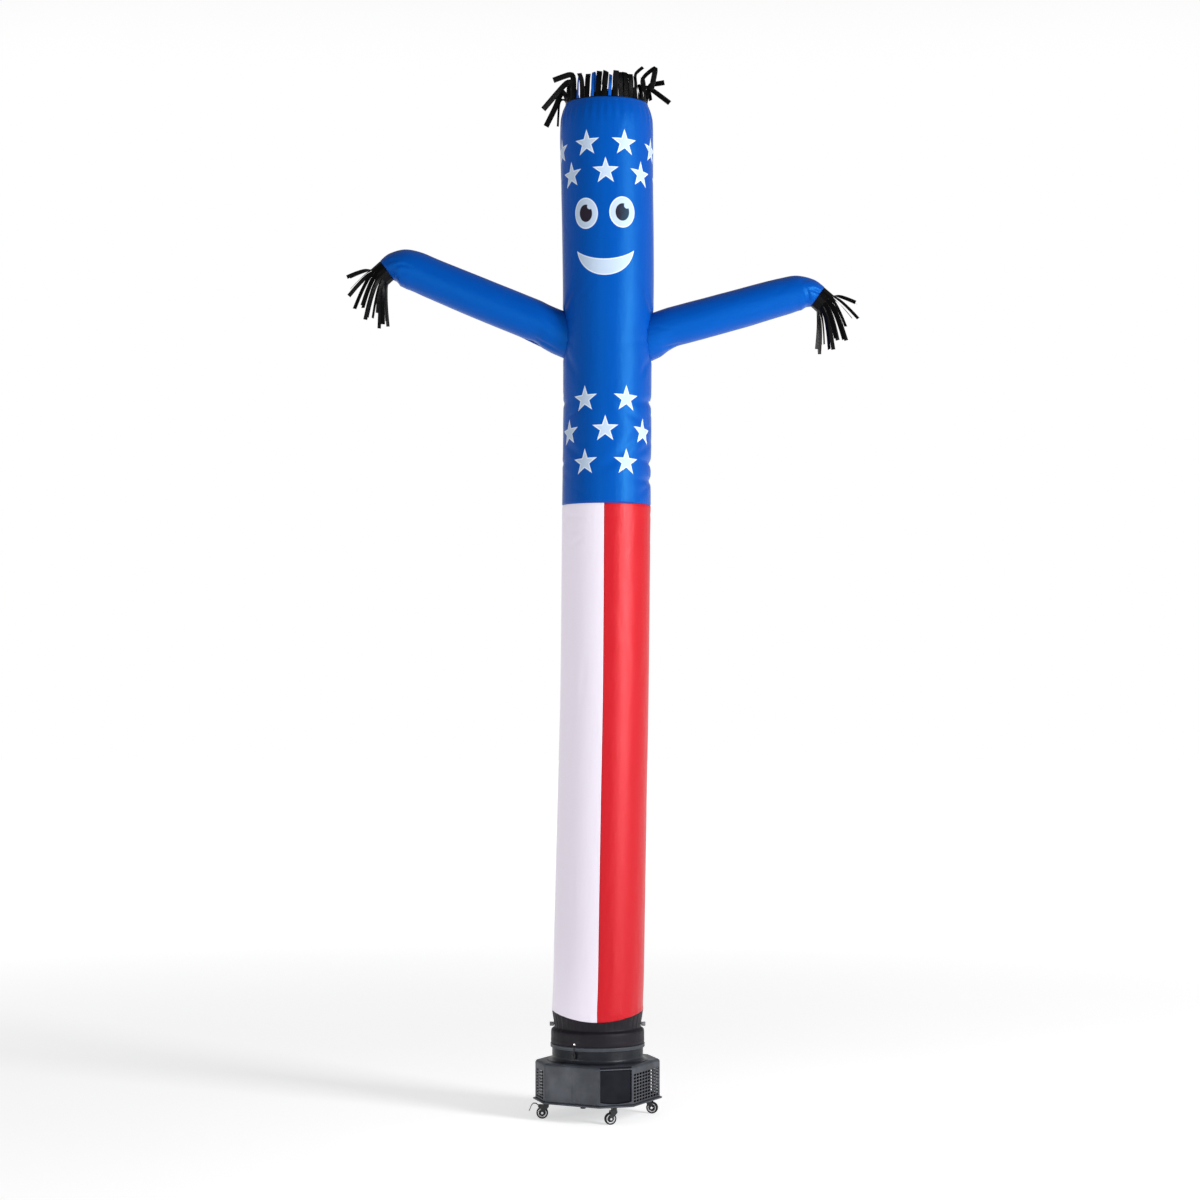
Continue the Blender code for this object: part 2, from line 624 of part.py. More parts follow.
def make_tassel(name, side, hand):
    centre, along, up = arm_frame(side, hand)
    fall = math.radians(hand.turn - CUFF_BEND)
    end_along = Vector((side * math.cos(fall), 0, math.sin(fall)))
    end_up = Vector((-side * math.sin(fall), 0, math.cos(fall)))
    across = along.cross(up)
    angles = comb_angles(TASSEL_STRIPS, TASSEL_FILL)

    def ring(middle, rise, swell):
        rims = []
        for inset in (0.0, CLOTH):
            points = []
            for a in angles:
                high = (hand.across / 2 * swell - inset) * math.cos(a)
                wide = (hand.deep / 2 * swell - inset) * math.sin(a)
                points.append(middle + rise * high + across * wide)
            rims.append(points)
        return rims

    start = centre + along * SEAM_GAP
    end = centre + (along + end_along).normalized() * CUFF_LENGTH
    strips = []
    width = math.pi * hand.across / TASSEL_STRIPS * TASSEL_FILL
    for i in range(TASSEL_STRIPS):
        a = math.tau * (i + 0.5) / TASSEL_STRIPS
        root = end + end_up * (hand.across / 2 * math.cos(a)) + across * (hand.deep / 2 * math.sin(a))
        sideways = -end_up * math.sin(a) + across * math.cos(a)
        length = TASSEL_LENGTHS[i % len(TASSEL_LENGTHS)]
        path = [root]
        for step, share in TASSEL_BENDS:
            tilt = math.radians(hand.turn - CUFF_BEND + TASSEL_FAN * math.cos(a) - TASSEL_DROOP * share)
            lean = across * TASSEL_SPLAY * math.sin(a)
            heading = Vector((side * math.cos(tilt), 0, math.sin(tilt))) + lean
            path.append(path[-1] + heading.normalized() * length * step)
        strips.append(strip_sections(path, sideways, width, CLOTH))
    add_object(name, fringe([ring(start, up, 1.0), ring(end, end_up, 1.0)], strips), "black_strip")


# ---- the drawcord -------------------------------------------------------------------------------
def on_skirt(radius, height, sideways=0.0):
    out = Vector((math.cos(CORD_ANGLE), math.sin(CORD_ANGLE), 0))
    side = Vector((math.sin(CORD_ANGLE), -math.cos(CORD_ANGLE), 0))
    return out * radius + side * sideways + Vector((0, 0, height))


def curve_points(route, count):
    """Evenly shared points on a smooth curve through a route."""
    points = []
    last = len(route) - 1
    for step in range(count):
        place = step / (count - 1) * last
        i = min(int(place), last - 1)
        t = place - i
        near = [route[min(max(i + k, 0), last)] for k in (-1, 0, 1, 2)]
        points.append(0.5 * (2 * near[1] + (near[2] - near[0]) * t
                             + (2 * near[0] - 5 * near[1] + 4 * near[2] - near[3]) * t ** 2
                             + (3 * near[1] - near[0] - 3 * near[2] + near[3]) * t ** 3))
    return points


def make_cord(name, route, count):
    curve = bpy.data.curves.new(name, "CURVE")
    curve.dimensions = "3D"
    curve.bevel_depth = CORD_RADIUS
    curve.bevel_resolution = 1
    curve.use_fill_caps = True
    spline = curve.splines.new("POLY")
    spline.points.add(count - 1)
    for point, place in zip(spline.points, curve_points(route, count)):
        point.co = (*place, 1.0)
    curve.materials.append(material("black_cord"))
    bpy.context.collection.objects.link(bpy.data.objects.new(name, curve))


def make_drawcord():
    make_cord("drawcord", [on_skirt(radius, height) for radius, height in CORD_ROUTE], 7)
    make_cord("cord_tail", [on_skirt(CORD_REACH, height, side) for side, height in TAIL_ROUTE], 8)
    lock = add_object("cord_lock", turned(LOCK, 10), "black_plastic")
    lock.location = on_skirt(CORD_REACH, 0)
    eyelet = add_object("eyelet", turned(EYELET, 12), "steel")
    eyelet.matrix_world = (Matrix.Translation(on_skirt(EYELET_SEAT, EYELET_HEIGHT))
                           @ Matrix.Rotation(CORD_ANGLE, 4, "Z") @ Matrix.Rotation(math.pi / 2, 4, "Y"))


# ---- the blower ---------------------------------------------------------------------------------
def eight_sides(half, edges, height):
    """Points round a square with its corners cut off. edges gives, for the corners at (+,-), (+,+),
    (-,+) and (-,-), where the cut starts on the neighbouring faces."""
    a, b, c, d = edges
    flat = [(half, -a), (half, b), (b, half), (-c, half), (-half, c), (-half, -d), (-d, -half), (a, -half)]
    turn = Matrix.Rotation(BLOWER_TURN, 3, "Z")
    return [turn @ Vector((x, y, height)) for x, y in flat]


def even_sides(half, edge, inset, height):
    corner = edge - inset * (math.sqrt(2) - 1)
    return eight_sides(half - inset, (corner,) * 4, height)


def turned_box(low, high, quarter, reach):
    """A box placed on one side of the blower: X runs along the face, Y outwards from it."""
    bm = box((low[0], reach + low[1], low[2]), (high[0], reach + high[1], high[2]))
    spin = Matrix.Rotation(BLOWER_TURN + quarter, 4, "Z")
    bmesh.ops.transform(bm, matrix=spin, verts=bm.verts)
    return bm


def make_housing():
    outer = [
        even_sides(HOUSING_HALF, HOUSING_EDGE, 0.0, HOUSING_FOOT),
        even_sides(HOUSING_HALF, HOUSING_EDGE, 0.0, HOUSING_TOP - HOUSING_BEVEL),
        even_sides(HOUSING_HALF, HOUSING_EDGE, HOUSING_BEVEL, HOUSING_TOP),
    ]
    housing = add_object("housing", loft(outer), "grey_plastic", edge_angle=20)
    inner = []
    for height, inset in ((HOUSING_FOOT - OVERSHOOT, 0.0),
                          (HOUSING_TOP - HOUSING_BEVEL - HOUSING_WALL / 2, 0.0),
                          (HOUSING_TOP - HOUSING_WALL, HOUSING_BEVEL)):
        wall = HOUSING_WALL + inset
        thin = HOUSING_EDGE - wall * (math.sqrt(2) - 1)
        thick = thin - RECESS_DEPTH * math.sqrt(2)
        inner.append(eight_sides(HOUSING_HALF - wall, (thick, thin, thick, thin), height))
    boolean(housing, add_tool("hollow_tool", loft(inner)))
    mouth = rod(OUTLET_BORE, HOUSING_TOP - HOUSING_WALL - OVERSHOOT, HOUSING_TOP + OVERSHOOT, TUBE_SIDES)
    boolean(housing, add_tool("mouth_tool", mouth))
    for name, (quarter, reach, half, _) in GRILLES.items():
        depth = HOUSING_WALL + RECESS_DEPTH
        window = turned_box((-half, -depth, WINDOW[0]), (half, OVERSHOOT, WINDOW[1]), quarter, reach)
        boolean(housing, add_tool(f"{name}_window_tool", window))
    for name, quarter in RECESSES.items():
        low = (-RECESS_HALF, -RECESS_DEPTH, RECESS_SPAN[0])
        recess = turned_box(low, (RECESS_HALF, OVERSHOOT, RECESS_SPAN[1]), quarter, CORNER_REACH)
        boolean(housing, add_tool(f"{name}_recess_tool", recess))
    for quarter in (0.0, math.pi):
        low = (-SPLIT_HALF, -SPLIT_DEPTH, HOUSING_FOOT - OVERSHOOT)
        split = turned_box(low, (SPLIT_HALF, OVERSHOOT, HOUSING_TOP), quarter, HOUSING_HALF)
        boolean(housing, add_tool("split_tool", split))


def make_grille(name, grille):
    """A panel in its window, with rows of slots cut through."""
    slot = 2 * (grille.half - 2 * SLOT_RIB) / grille.columns
    xs = [SEAM_GAP - grille.half]
    for c in range(grille.columns):
        middle = (0.5 + c - grille.columns / 2) * slot
        xs += [middle - slot / 2 + SLOT_RIB, middle + slot / 2 - SLOT_RIB]
    xs.append(grille.half - SEAM_GAP)
    zs = [WINDOW[0] + SEAM_GAP]
    for r in range(SLOT_ROWS):
        middle = SLOT_LOWEST + r * SLOT_PITCH
        zs += [middle - SLOT_HEIGHT / 2, middle + SLOT_HEIGHT / 2]
    zs.append(WINDOW[1] - SEAM_GAP)
    bm = bmesh.new()
    inside, outside = (
        [[bm.verts.new((x, grille.reach + y, z)) for x in xs] for z in zs] for y in (-HOUSING_WALL, 0.0)
    )
    for r in range(len(zs) - 1):
        for c in range(len(xs) - 1):
            if r % 2 and c % 2:
                continue
            for grid in (inside, outside):
                bm.faces.new((grid[r][c], grid[r][c + 1], grid[r + 1][c + 1], grid[r + 1][c]))
    partner = {a: b for row, other in zip(inside, outside) for a, b in zip(row, other)}
    rims = [edge for edge in bm.edges if len(edge.link_faces) == 1 and edge.verts[0] in partner]
    for edge in rims:
        a, b = edge.verts
        bm.faces.new((a, b, partner[b], partner[a]))
    turn = Matrix.Rotation(BLOWER_TURN + grille.quarter, 4, "Z")
    bmesh.ops.transform(bm, matrix=turn, verts=bm.verts)
    add_object(name, bm, "light_plastic")


def make_blower():
    make_housing()
    for name, grille in GRILLES.items():
        make_grille(name, grille)
    add_object("outlet", turned(OUTLET, TUBE_SIDES), "grey_plastic", edge_angle=30)
    rows = [
        even_sides(PLATE_HALF, PLATE_EDGE, PLATE_BEVEL, PLATE_FOOT),
        even_sides(PLATE_HALF, PLATE_EDGE, 0.0, PLATE_FOOT + PLATE_BEVEL),
        even_sides(PLATE_HALF, PLATE_EDGE, 0.0, PLATE_TOP - PLATE_BEVEL),
        even_sides(PLATE_HALF, PLATE_EDGE, PLATE_BEVEL, PLATE_TOP),
    ]
    add_object("base_plate", loft(rows), "grey_plastic", edge_angle=20)
    foot = add_object("foot", rod(FOOT_RADIUS, FOOT_HEIGHTS[0], FOOT_HEIGHTS[1], 16), "black_plastic")
    foot.location = Matrix.Rotation(BLOWER_TURN, 3, "Z") @ Vector(FOOT_PLACE)
    for name, turn in (("knob_right", 0.0), ("knob_left", math.pi)):
        knob = add_object(name, turned(KNOB, 12, "X"), "light_plastic")
        knob.location.z = KNOB_HEIGHT
        knob.rotation_euler.z = turn


# ---- the casters --------------------------------------------------------------------------------
def make_fork(braked):
    """One casting: bearing, crown and two legs, with the axle's hole through it."""
    wide = FORK_INSIDE + FORK_PLATE
    low = (CROWN_ENDS[0], -wide, AXLE_HEIGHT + WHEEL_RADIUS + WHEEL_ROOM)
    fork = add_object("fork_pattern", box(low, (CROWN_ENDS[1], wide, CROWN_TOP)), "black_metal")
    bearing = rod(BEARING_RADIUS, BEARING_FOOT, PLATE_FOOT - SEAM_GAP, 16)
    boolean(fork, add_tool("bearing_tool", bearing), "UNION")
    for side in (-1, 1):
        low, high = sorted((side * FORK_INSIDE, side * wide))
        boolean(fork, add_tool("leg_tool", plate(LEG, low, high)), "UNION")
        if braked:
            boolean(fork, add_tool("lug_tool", plate(LUG, low, high)), "UNION")
    reach = wide + OVERSHOOT
    hole = rod(AXLE_RADIUS + 2 * SEAM_GAP, -reach, reach, 8, "Y", (TRAIL, 0, AXLE_HEIGHT), math.pi / 8)
    boolean(fork, add_tool("axle_hole_tool", hole))
    bpy.context.view_layer.update()
    finished = fork.evaluated_get(bpy.context.evaluated_depsgraph_get())
    mesh = bpy.data.meshes.new_from_object(finished)
    bpy.data.objects.remove(fork)
    return mesh


def make_pedal(parent):
    """A bent lever with its pivot barrel, turning between the fork's lugs."""
    pair = ([], [])
    for i, (x, z) in enumerate(PEDAL):
        before = Vector(PEDAL[max(i - 1, 0)])
        after = Vector(PEDAL[min(i + 1, len(PEDAL) - 1)])
        along = (after - before).normalized()
        for rim, side in zip(pair, (-1, 1)):
            rim.append((x - side * along.y * PEDAL_THICK / 2, z + side * along.x * PEDAL_THICK / 2))
    outline = pair[0] + pair[1][::-1]
    pedal = add_object("brake_pedal", plate(outline, -PEDAL_HALF, PEDAL_HALF), "black_metal")
    barrel_half = FORK_INSIDE - SEAM_GAP
    barrel = add_tool("barrel_tool", rod(PEDAL_BARREL, -barrel_half, barrel_half, 12, "Y"))
    barrel.parent = pedal
    boolean(pedal, barrel, "UNION")
    pedal.parent = parent
    pedal.location = (PEDAL_PIVOT[0], 0, PEDAL_PIVOT[1])


def make_casters():
    patterns = {braked: make_fork(braked) for braked in (False, True)}
    turn = Matrix.Rotation(BLOWER_TURN, 3, "Z")
    start = math.pi / WHEEL_SIDES
    parts = {
        "tyre": ("tyre_rubber", turned(TYRE, WHEEL_SIDES, "Y", start)),
        "hub": ("light_plastic", turned(HUB, 12, "Y", start)),
        "axle": ("steel", turned(AXLE, 8, "Y", math.pi / 8)),
    }
    shared = {}
    for caster in CASTERS:
        pin = bpy.data.objects.new(f"kingpin_{caster.name}", None)
        bpy.context.collection.objects.link(pin)
        corner = Vector((*caster.corner, 0)).normalized() * KINGPIN_REACH
        pin.location = turn @ corner
        pin.rotation_euler.z = math.radians(caster.heading)
        fork = add_mesh_object(f"fork_{caster.name}", patterns[caster.braked], None)
        fork.parent = pin
        for part, (finish, bm) in parts.items():
            name = f"{part}_{caster.name}"
            if part in shared:
                piece = add_mesh_object(name, shared[part], None)
            else:
                piece = add_object(name, bm, finish)
                shared[part] = piece.data
            piece.parent = pin
            piece.location = (TRAIL, 0, AXLE_HEIGHT)
        if caster.braked:
            make_pedal(pin)


# ---- the whole part -----------------------------------------------------------------------------
def main():
    for old in list(bpy.data.objects):
        bpy.data.objects.remove(old, do_unlink=True)
    make_body_blue()
    make_panel("panel_white", "white_cloth", -1)
    make_panel("panel_red", "red_cloth", 1)
    make_skirt()
    make_arm("arm_left", -1, LEFT_ARM)
    make_arm("arm_right", 1, RIGHT_ARM)
    make_hair()
    make_tassel("tassel_left", -1, LEFT_ARM[-1])
    make_tassel("tassel_right", 1, RIGHT_ARM[-1])
    make_drawcord()
    make_blower()
    make_casters()


main()
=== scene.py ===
# %% [markdown]
# An air dancer is a tube of thin nylon, about 5.4 m tall, that an electric blower keeps upright. The packed
# model already holds every piece at its true size, so this lesson only dresses it: cloth with seams and
# prints, fringes of cut strips, and the finely moulded blower on its casters. The frame is loaded first.
# Nothing here may change the size of the object.

# %% Load the frame
import json
import math
from collections import namedtuple

import bmesh
import bpy
import numpy as np
from mathutils import Matrix, Vector

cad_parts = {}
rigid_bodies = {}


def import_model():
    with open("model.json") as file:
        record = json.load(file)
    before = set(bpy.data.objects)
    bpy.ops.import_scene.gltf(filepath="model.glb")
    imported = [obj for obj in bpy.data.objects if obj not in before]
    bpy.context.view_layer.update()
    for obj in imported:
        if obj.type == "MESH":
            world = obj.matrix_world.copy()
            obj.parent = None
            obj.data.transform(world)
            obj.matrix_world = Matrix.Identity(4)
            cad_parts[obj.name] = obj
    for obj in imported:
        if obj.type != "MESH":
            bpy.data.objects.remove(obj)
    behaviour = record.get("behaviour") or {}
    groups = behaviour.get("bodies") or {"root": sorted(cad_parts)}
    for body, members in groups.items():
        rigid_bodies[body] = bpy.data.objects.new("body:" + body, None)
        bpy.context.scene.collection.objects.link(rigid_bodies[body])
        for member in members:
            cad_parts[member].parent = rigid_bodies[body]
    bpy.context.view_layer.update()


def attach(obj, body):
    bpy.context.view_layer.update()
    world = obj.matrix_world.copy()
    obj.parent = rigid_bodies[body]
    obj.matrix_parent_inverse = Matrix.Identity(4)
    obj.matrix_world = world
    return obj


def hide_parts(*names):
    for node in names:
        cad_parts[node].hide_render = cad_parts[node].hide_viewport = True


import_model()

# %% [markdown]
# The camera stands level in front of the figure, a little under half its height, on a long lens. A level camera
# keeps the tube's sides upright, and a small upward shift of the picture takes in the head instead of a tilt.

# %% Camera
FRAME_PIXELS = 1200
FOCAL_PIXELS = 2634
HORIZON_ROW = 679
EYE = (0.0125, -13.75, 2.28)

camera = bpy.data.objects.new("Front camera", bpy.data.cameras.new("Front camera"))
camera.data.lens = camera.data.sensor_width * FOCAL_PIXELS / FRAME_PIXELS
camera.data.shift_y = (HORIZON_ROW - FRAME_PIXELS / 2) / FRAME_PIXELS
camera.location = EYE
camera.rotation_euler = (math.pi / 2, 0, 0)
bpy.context.collection.objects.link(camera)
bpy.context.scene.camera = camera
print("lens", round(camera.data.lens, 1), "mm, shift", round(camera.data.shift_y, 3))

# %% [markdown]
# Shader and geometry nodes are both written through one small class. A Wire is an output socket: sums and
# products of wires add Math nodes, so a pattern reads like a formula. A Graph adds any other node in one call.

# %% Wires and graphs
class Wire:
    """One output socket. Arithmetic on it adds Math nodes to its tree."""

    def __init__(self, graph, socket):
        self.graph = graph
        self.socket = socket

    def math(self, operation, *others, clamp=False):
        inputs = dict(enumerate((self, *others)))
        return self.graph.node("ShaderNodeMath", {"operation": operation, "use_clamp": clamp}, inputs)

    def __add__(self, other):
        return self.math("ADD", other)

    def __sub__(self, other):
        return self.math("SUBTRACT", other)

    def __rsub__(self, other):
        return self * -1 + other

    def __mul__(self, other):
        return self.math("MULTIPLY", other)

    def __truediv__(self, other):
        return self.math("DIVIDE", other)

    def __rtruediv__(self, other):
        return self.math("POWER", -1) * other

    def __pow__(self, other):
        return self.math("POWER", other)

    __radd__ = __add__
    __rmul__ = __mul__


class Graph:
    """A node tree that is being written, for a material or for geometry."""

    def __init__(self, tree):
        self.tree = tree

    def node(self, kind, settings=None, inputs=None, output=0):
        made = self.tree.nodes.new(kind)
        settings = dict(settings or {})
        stops = settings.pop("stops", ())
        for name, value in settings.items():
            setattr(made, name, value)
        for i, (place, colour) in enumerate(stops):
            ramp = made.color_ramp.elements
            stop = ramp[i] if i < 2 else ramp.new(place)
            stop.position = place
            stop.color = (*colour, 1.0)
        for name, value in (inputs or {}).items():
            self.join(value, made.inputs[name])
        return Wire(self, made.outputs[output] if made.outputs else None)

    def vector(self, x, y, z=0.0):
        return self.node("ShaderNodeCombineXYZ", inputs={0: x, 1: y, 2: z})

    def join(self, value, socket):
        if isinstance(value, Wire):
            self.tree.links.new(value.socket, socket)
        elif hasattr(socket.default_value, "__len__") and len(socket.default_value) == 4 and len(value) == 3:
            socket.default_value = (*value, 1.0)
        else:
            socket.default_value = value


print("wires and graphs ready")

# %% [markdown]
# Every finish is a Principled shader whose colour, roughness and small relief come from nodes. These helpers
# give what most of them share: where a point lies, a soft noise, a mix of two colours and a bump.

# %% Finish helpers
FABRIC_MAP = "Fabric"


class Finish(Graph):
    """A material with one Principled shader, and short names for the nodes that most finishes use."""

    def __init__(self, name, **constants):
        self.material = bpy.data.materials.new(name)
        self.material.use_nodes = True
        super().__init__(self.material.node_tree)
        self.tree.nodes.clear()
        surface = self.node("ShaderNodeBsdfPrincipled", inputs=constants)
        self.shader = surface.socket.node
        self.node("ShaderNodeOutputMaterial", inputs={"Surface": surface})

    def feed(self, **sockets):
        for name, value in sockets.items():
            self.join(value, self.shader.inputs[name.replace("_", " ")])
        return self.material

    def on_cloth(self):
        """Metres round and along the cloth, from its own map."""
        place = self.node("ShaderNodeUVMap", {"uv_map": FABRIC_MAP})
        split = self.node("ShaderNodeSeparateXYZ", inputs={0: place})
        return split, Wire(self, split.socket.node.outputs[1])

    def in_space(self):
        return self.node("ShaderNodeTexCoord", output=3)

    def noise(self, place, scale, detail=3.0, roughness=0.5):
        inputs = {"Vector": place, "Scale": scale, "Detail": detail, "Roughness": roughness}
        return self.node("ShaderNodeTexNoise", inputs=inputs)

    def mix(self, share, first, second):
        inputs = {0: share, 6: first, 7: second}
        return self.node("ShaderNodeMix", {"data_type": "RGBA"}, inputs, output=2)

    def between(self, value, low, high, bottom=0.0, top=1.0):
        """Turn low..high of a value smoothly into bottom..top."""
        inputs = {0: value, 1: low, 2: high, 3: bottom, 4: top}
        return self.node("ShaderNodeMapRange", {"interpolation_type": "SMOOTHSTEP"}, inputs)

    def bump(self, height, distance, strength=1.0, under=None):
        inputs = {"Height": height, "Distance": distance, "Strength": strength}
        if under:
            inputs["Normal"] = under
        return self.node("ShaderNodeBump", inputs=inputs)


print("finish helpers ready")

# %% [markdown]
# The prints are drawn by formulas on the cloth's own map, which is in metres: across from the front centre and
# up from the ground. A five-pointed star is a fold: its angle is reflected into one half point, where its edge
# is a straight line. A row of stars is one star repeated at a pitch, with a wider gap at the back. Eyes are
# ovals with a round glint, and the smile is what one circle leaves of another. Every shape is a signed distance
# in metres, so the smallest of them all draws the whole print and its paler border.

# %% Print patterns
PRINT_WHITE = (0.480, 0.580, 0.720)
PRINT_EDGE_WHITE = (0.700, 0.750, 0.820)
PRINT_BORDER = 0.0050
PUPIL_BLACK = (0.022, 0.006, 0.010)
PRINT_EDGE = 0.0012
STAR_RADIUS = 0.071
STAR_INNER = 0.392
PRINT_DROOP = 0.030
HEAD_RADIUS = 0.240

STAR_SIDE = 0.2500
StarRow = namedtuple("StarRow", "height pitch middle side_gap last")
STAR_ROWS = (
    StarRow(5.036, 0.2015, 0.0935, 0.0, 3),
    StarRow(4.888, 0.2015, -0.0080, 0.0, 3),
    StarRow(3.724, 0.2233, 0.1010, 0.040, 2),
    StarRow(3.565, 0.2233, -0.0110, 0.0, 2),
    StarRow(3.398, 0.2233, 0.1030, 0.040, 2),
)
STAR_FIRST = -3
Eye = namedtuple("Eye", "across height half_width half_height lean")
EYES = (Eye(-0.1187, 4.674, 0.067, 0.080, -6), Eye(0.0769, 4.678, 0.069, 0.080, 6))
PUPIL_SHARE = (0.54, 0.56)
GLINT = (0.024, 0.034, 0.015)
SMILE_MIDDLE = -0.0175
SMILE_TIPS = 4.484
SMILE_HALF = 0.1575
SMILE_TOP_SAG = 0.0465
SMILE_FOOT_SAG = 0.130


def inside(finish, reach):
    """1 where a signed distance, in metres, is below zero, with a soft printed edge."""
    return finish.between(reach, PRINT_EDGE, -PRINT_EDGE)


def star_reach(across, up):
    turn = math.tau / 10
    inner = STAR_RADIUS * STAR_INNER
    rise = STAR_RADIUS - inner * math.cos(turn)
    side = inner * math.sin(turn)
    length = math.hypot(rise, side)
    radius = (across * across + up * up) ** 0.5
    angle = across.math("ARCTAN2", up).math("PINGPONG", turn)
    reach = radius * angle.math("COSINE") * (side / length) + radius * angle.math("SINE") * (rise / length)
    return reach - STAR_RADIUS * side / length


def oval_reach(across, up, half_width, half_height, lean):
    c, s = math.cos(math.radians(lean)), math.sin(math.radians(lean))
    x = (across * c - up * s) / half_width
    y = (across * s + up * c) / half_height
    return ((x * x + y * y) ** 0.5 - 1.0) * half_width


def circle_reach(across, up, radius):
    return (across * across + up * up) ** 0.5 - radius


def arc_radius(half, sag):
    return (half * half + sag * sag) / (2 * sag)


def smile_reach(across, up):
    foot = arc_radius(SMILE_HALF, SMILE_FOOT_SAG)
    top = arc_radius(SMILE_HALF, SMILE_TOP_SAG)
    x = across - SMILE_MIDDLE
    below = circle_reach(x, up - (SMILE_TIPS - SMILE_FOOT_SAG + foot), foot)
    above = circle_reach(x, up - (SMILE_TIPS - SMILE_TOP_SAG + top), top)
    return below.math("MAXIMUM", above * -1)


print("print shapes: star, oval, circle and smile")

# %% [markdown]
# In a row of stars only the nearest one can cover a point, so rounding the place along the row finds it. Rows
# hang a little lower at the tube's sides.

# %% The whole print
def print_on(finish, across, up, colour):
    """The blue body's stars and face."""
    droop = (1 - (across / HEAD_RADIUS).math("COSINE")) * PRINT_DROOP
    level = up + droop
    reach = smile_reach(across, up)
    for row in STAR_ROWS:
        at_side = across.math("ABSOLUTE").math("GREATER_THAN", STAR_SIDE)
        beyond = at_side * across.math("SIGN") * row.side_gap
        along = across - beyond - row.middle
        star = (along / row.pitch).math("ROUND").math("MINIMUM", row.last).math("MAXIMUM", STAR_FIRST)
        nearest = along - star * row.pitch
        reach = reach.math("MINIMUM", star_reach(nearest, level - row.height))
    pupils = None
    for eye in EYES:
        x, y = across - eye.across, up - eye.height
        reach = reach.math("MINIMUM", oval_reach(x, y, eye.half_width, eye.half_height, eye.lean))
        wide, high = eye.half_width * PUPIL_SHARE[0], eye.half_height * PUPIL_SHARE[1]
        pupil = oval_reach(x, y, wide, high, eye.lean)
        pupil = pupil.math("MAXIMUM", circle_reach(x - GLINT[0], y - GLINT[1], GLINT[2]) * -1)
        pupils = pupil if pupils is None else pupils.math("MINIMUM", pupil)
    pale = finish.mix(inside(finish, reach + PRINT_BORDER), PRINT_EDGE_WHITE, PRINT_WHITE)
    printed = finish.mix(inside(finish, reach), colour, pale)
    return finish.mix(inside(finish, pupils), printed, PUPIL_BLACK)


print("prints:", len(STAR_ROWS), "rows of stars, two eyes and a smile")

# %% [markdown]
# Woven nylon is a satin skin: a plain weave too fine to see from afar, faint upright streaks where the cloth is
# pulled tight, and a broad soft highlight. The weave is a product of two waves on the cloth's map. The same
# recipe with other colours gives all the cloth. White cloth gets a painted glow: an emission that brightens it
# and evens out its shading.

# %% Cloth finishes
THREAD = 0.0016
WEAVE_RELIEF = 0.00005
CREASE_RELIEF = 0.0035


def cloth_finish(name, colour, gloss=(1, 1, 1), roughness=0.40, prints=False, streak=0.12, shine=0.5,
                 glow=0.0):
    finish = Finish(name, **{"Specular Tint": (*gloss, 1.0), "Specular IOR Level": shine,
                             "Emission Color": (*colour, 1.0), "Emission Strength": glow})
    across, along = finish.on_cloth()
    streaks = finish.noise(finish.vector(across * 9.0, along * 1.1), 4.0, 3.0, 0.55)
    patches = finish.noise(finish.vector(across * 2.0, along * 1.0), 2.2, 2.0)
    dark = tuple(c * (1 - streak) for c in colour)
    light = tuple(min(1.0, c * (1 + streak)) for c in colour)
    base = finish.mix(streaks * 0.6 + patches * 0.4, dark, light)
    if prints:
        base = print_on(finish, across, along, base)
    threads = (across * (math.tau / THREAD)).math("SINE") * (along * (math.tau / THREAD)).math("SINE")
    pulls = finish.noise(finish.vector(across * 5.0, along * 0.9), 5.0, 4.0, 0.6)
    puffs = finish.noise(finish.vector(across, along * 0.6), 9.0, 2.0)
    normal = finish.bump(pulls + puffs * 0.8, CREASE_RELIEF, 0.35)
    normal = finish.bump(threads, WEAVE_RELIEF, 1.0, normal)
    rough = finish.between(streaks, 0.2, 0.8, roughness - 0.04, roughness + 0.06)
    return finish.feed(Base_Color=base, Roughness=rough, Normal=normal)


BLUE = (0.0003, 0.064, 0.365)
BLUE_GLOSS = (0.08, 0.62, 1.0)
blue_printed = cloth_finish("Blue nylon with prints", BLUE, BLUE_GLOSS, roughness=0.36, prints=True, shine=0.4)
blue_plain = cloth_finish("Blue nylon", BLUE, BLUE_GLOSS, roughness=0.36, shine=0.4)
# The white cloth's glow is painted light: an emission that brightens it and evens out its shading.
white_nylon = cloth_finish("White nylon", (0.480, 0.444, 0.505), roughness=0.50, streak=0.02,
                           glow=0.66)
red_nylon = cloth_finish("Red nylon", (0.475, 0.002, 0.009), (1.0, 0.30, 0.32), roughness=0.35,
                         streak=0.06, shine=0.8)
black_nylon = cloth_finish("Black nylon", (0.009, 0.007, 0.011), roughness=0.50, streak=0.25, shine=0.18)
strip_black = cloth_finish("Black strip nylon", (0.0012, 0.0012, 0.0016), roughness=0.30, streak=0.3,
                           shine=0.10)
strip_blue = cloth_finish("Blue strip nylon", (0.004, 0.080, 0.460), BLUE_GLOSS)
print("cloth finishes: 7")

# %% [markdown]
# Moulded plastic has a fine spark-eroded grain that catches light as tiny bumps, and it goes a little paler and
# smoother where hands and ground rub it. Zinc is brighter with a streaky grain, rubber is matt and dusty.

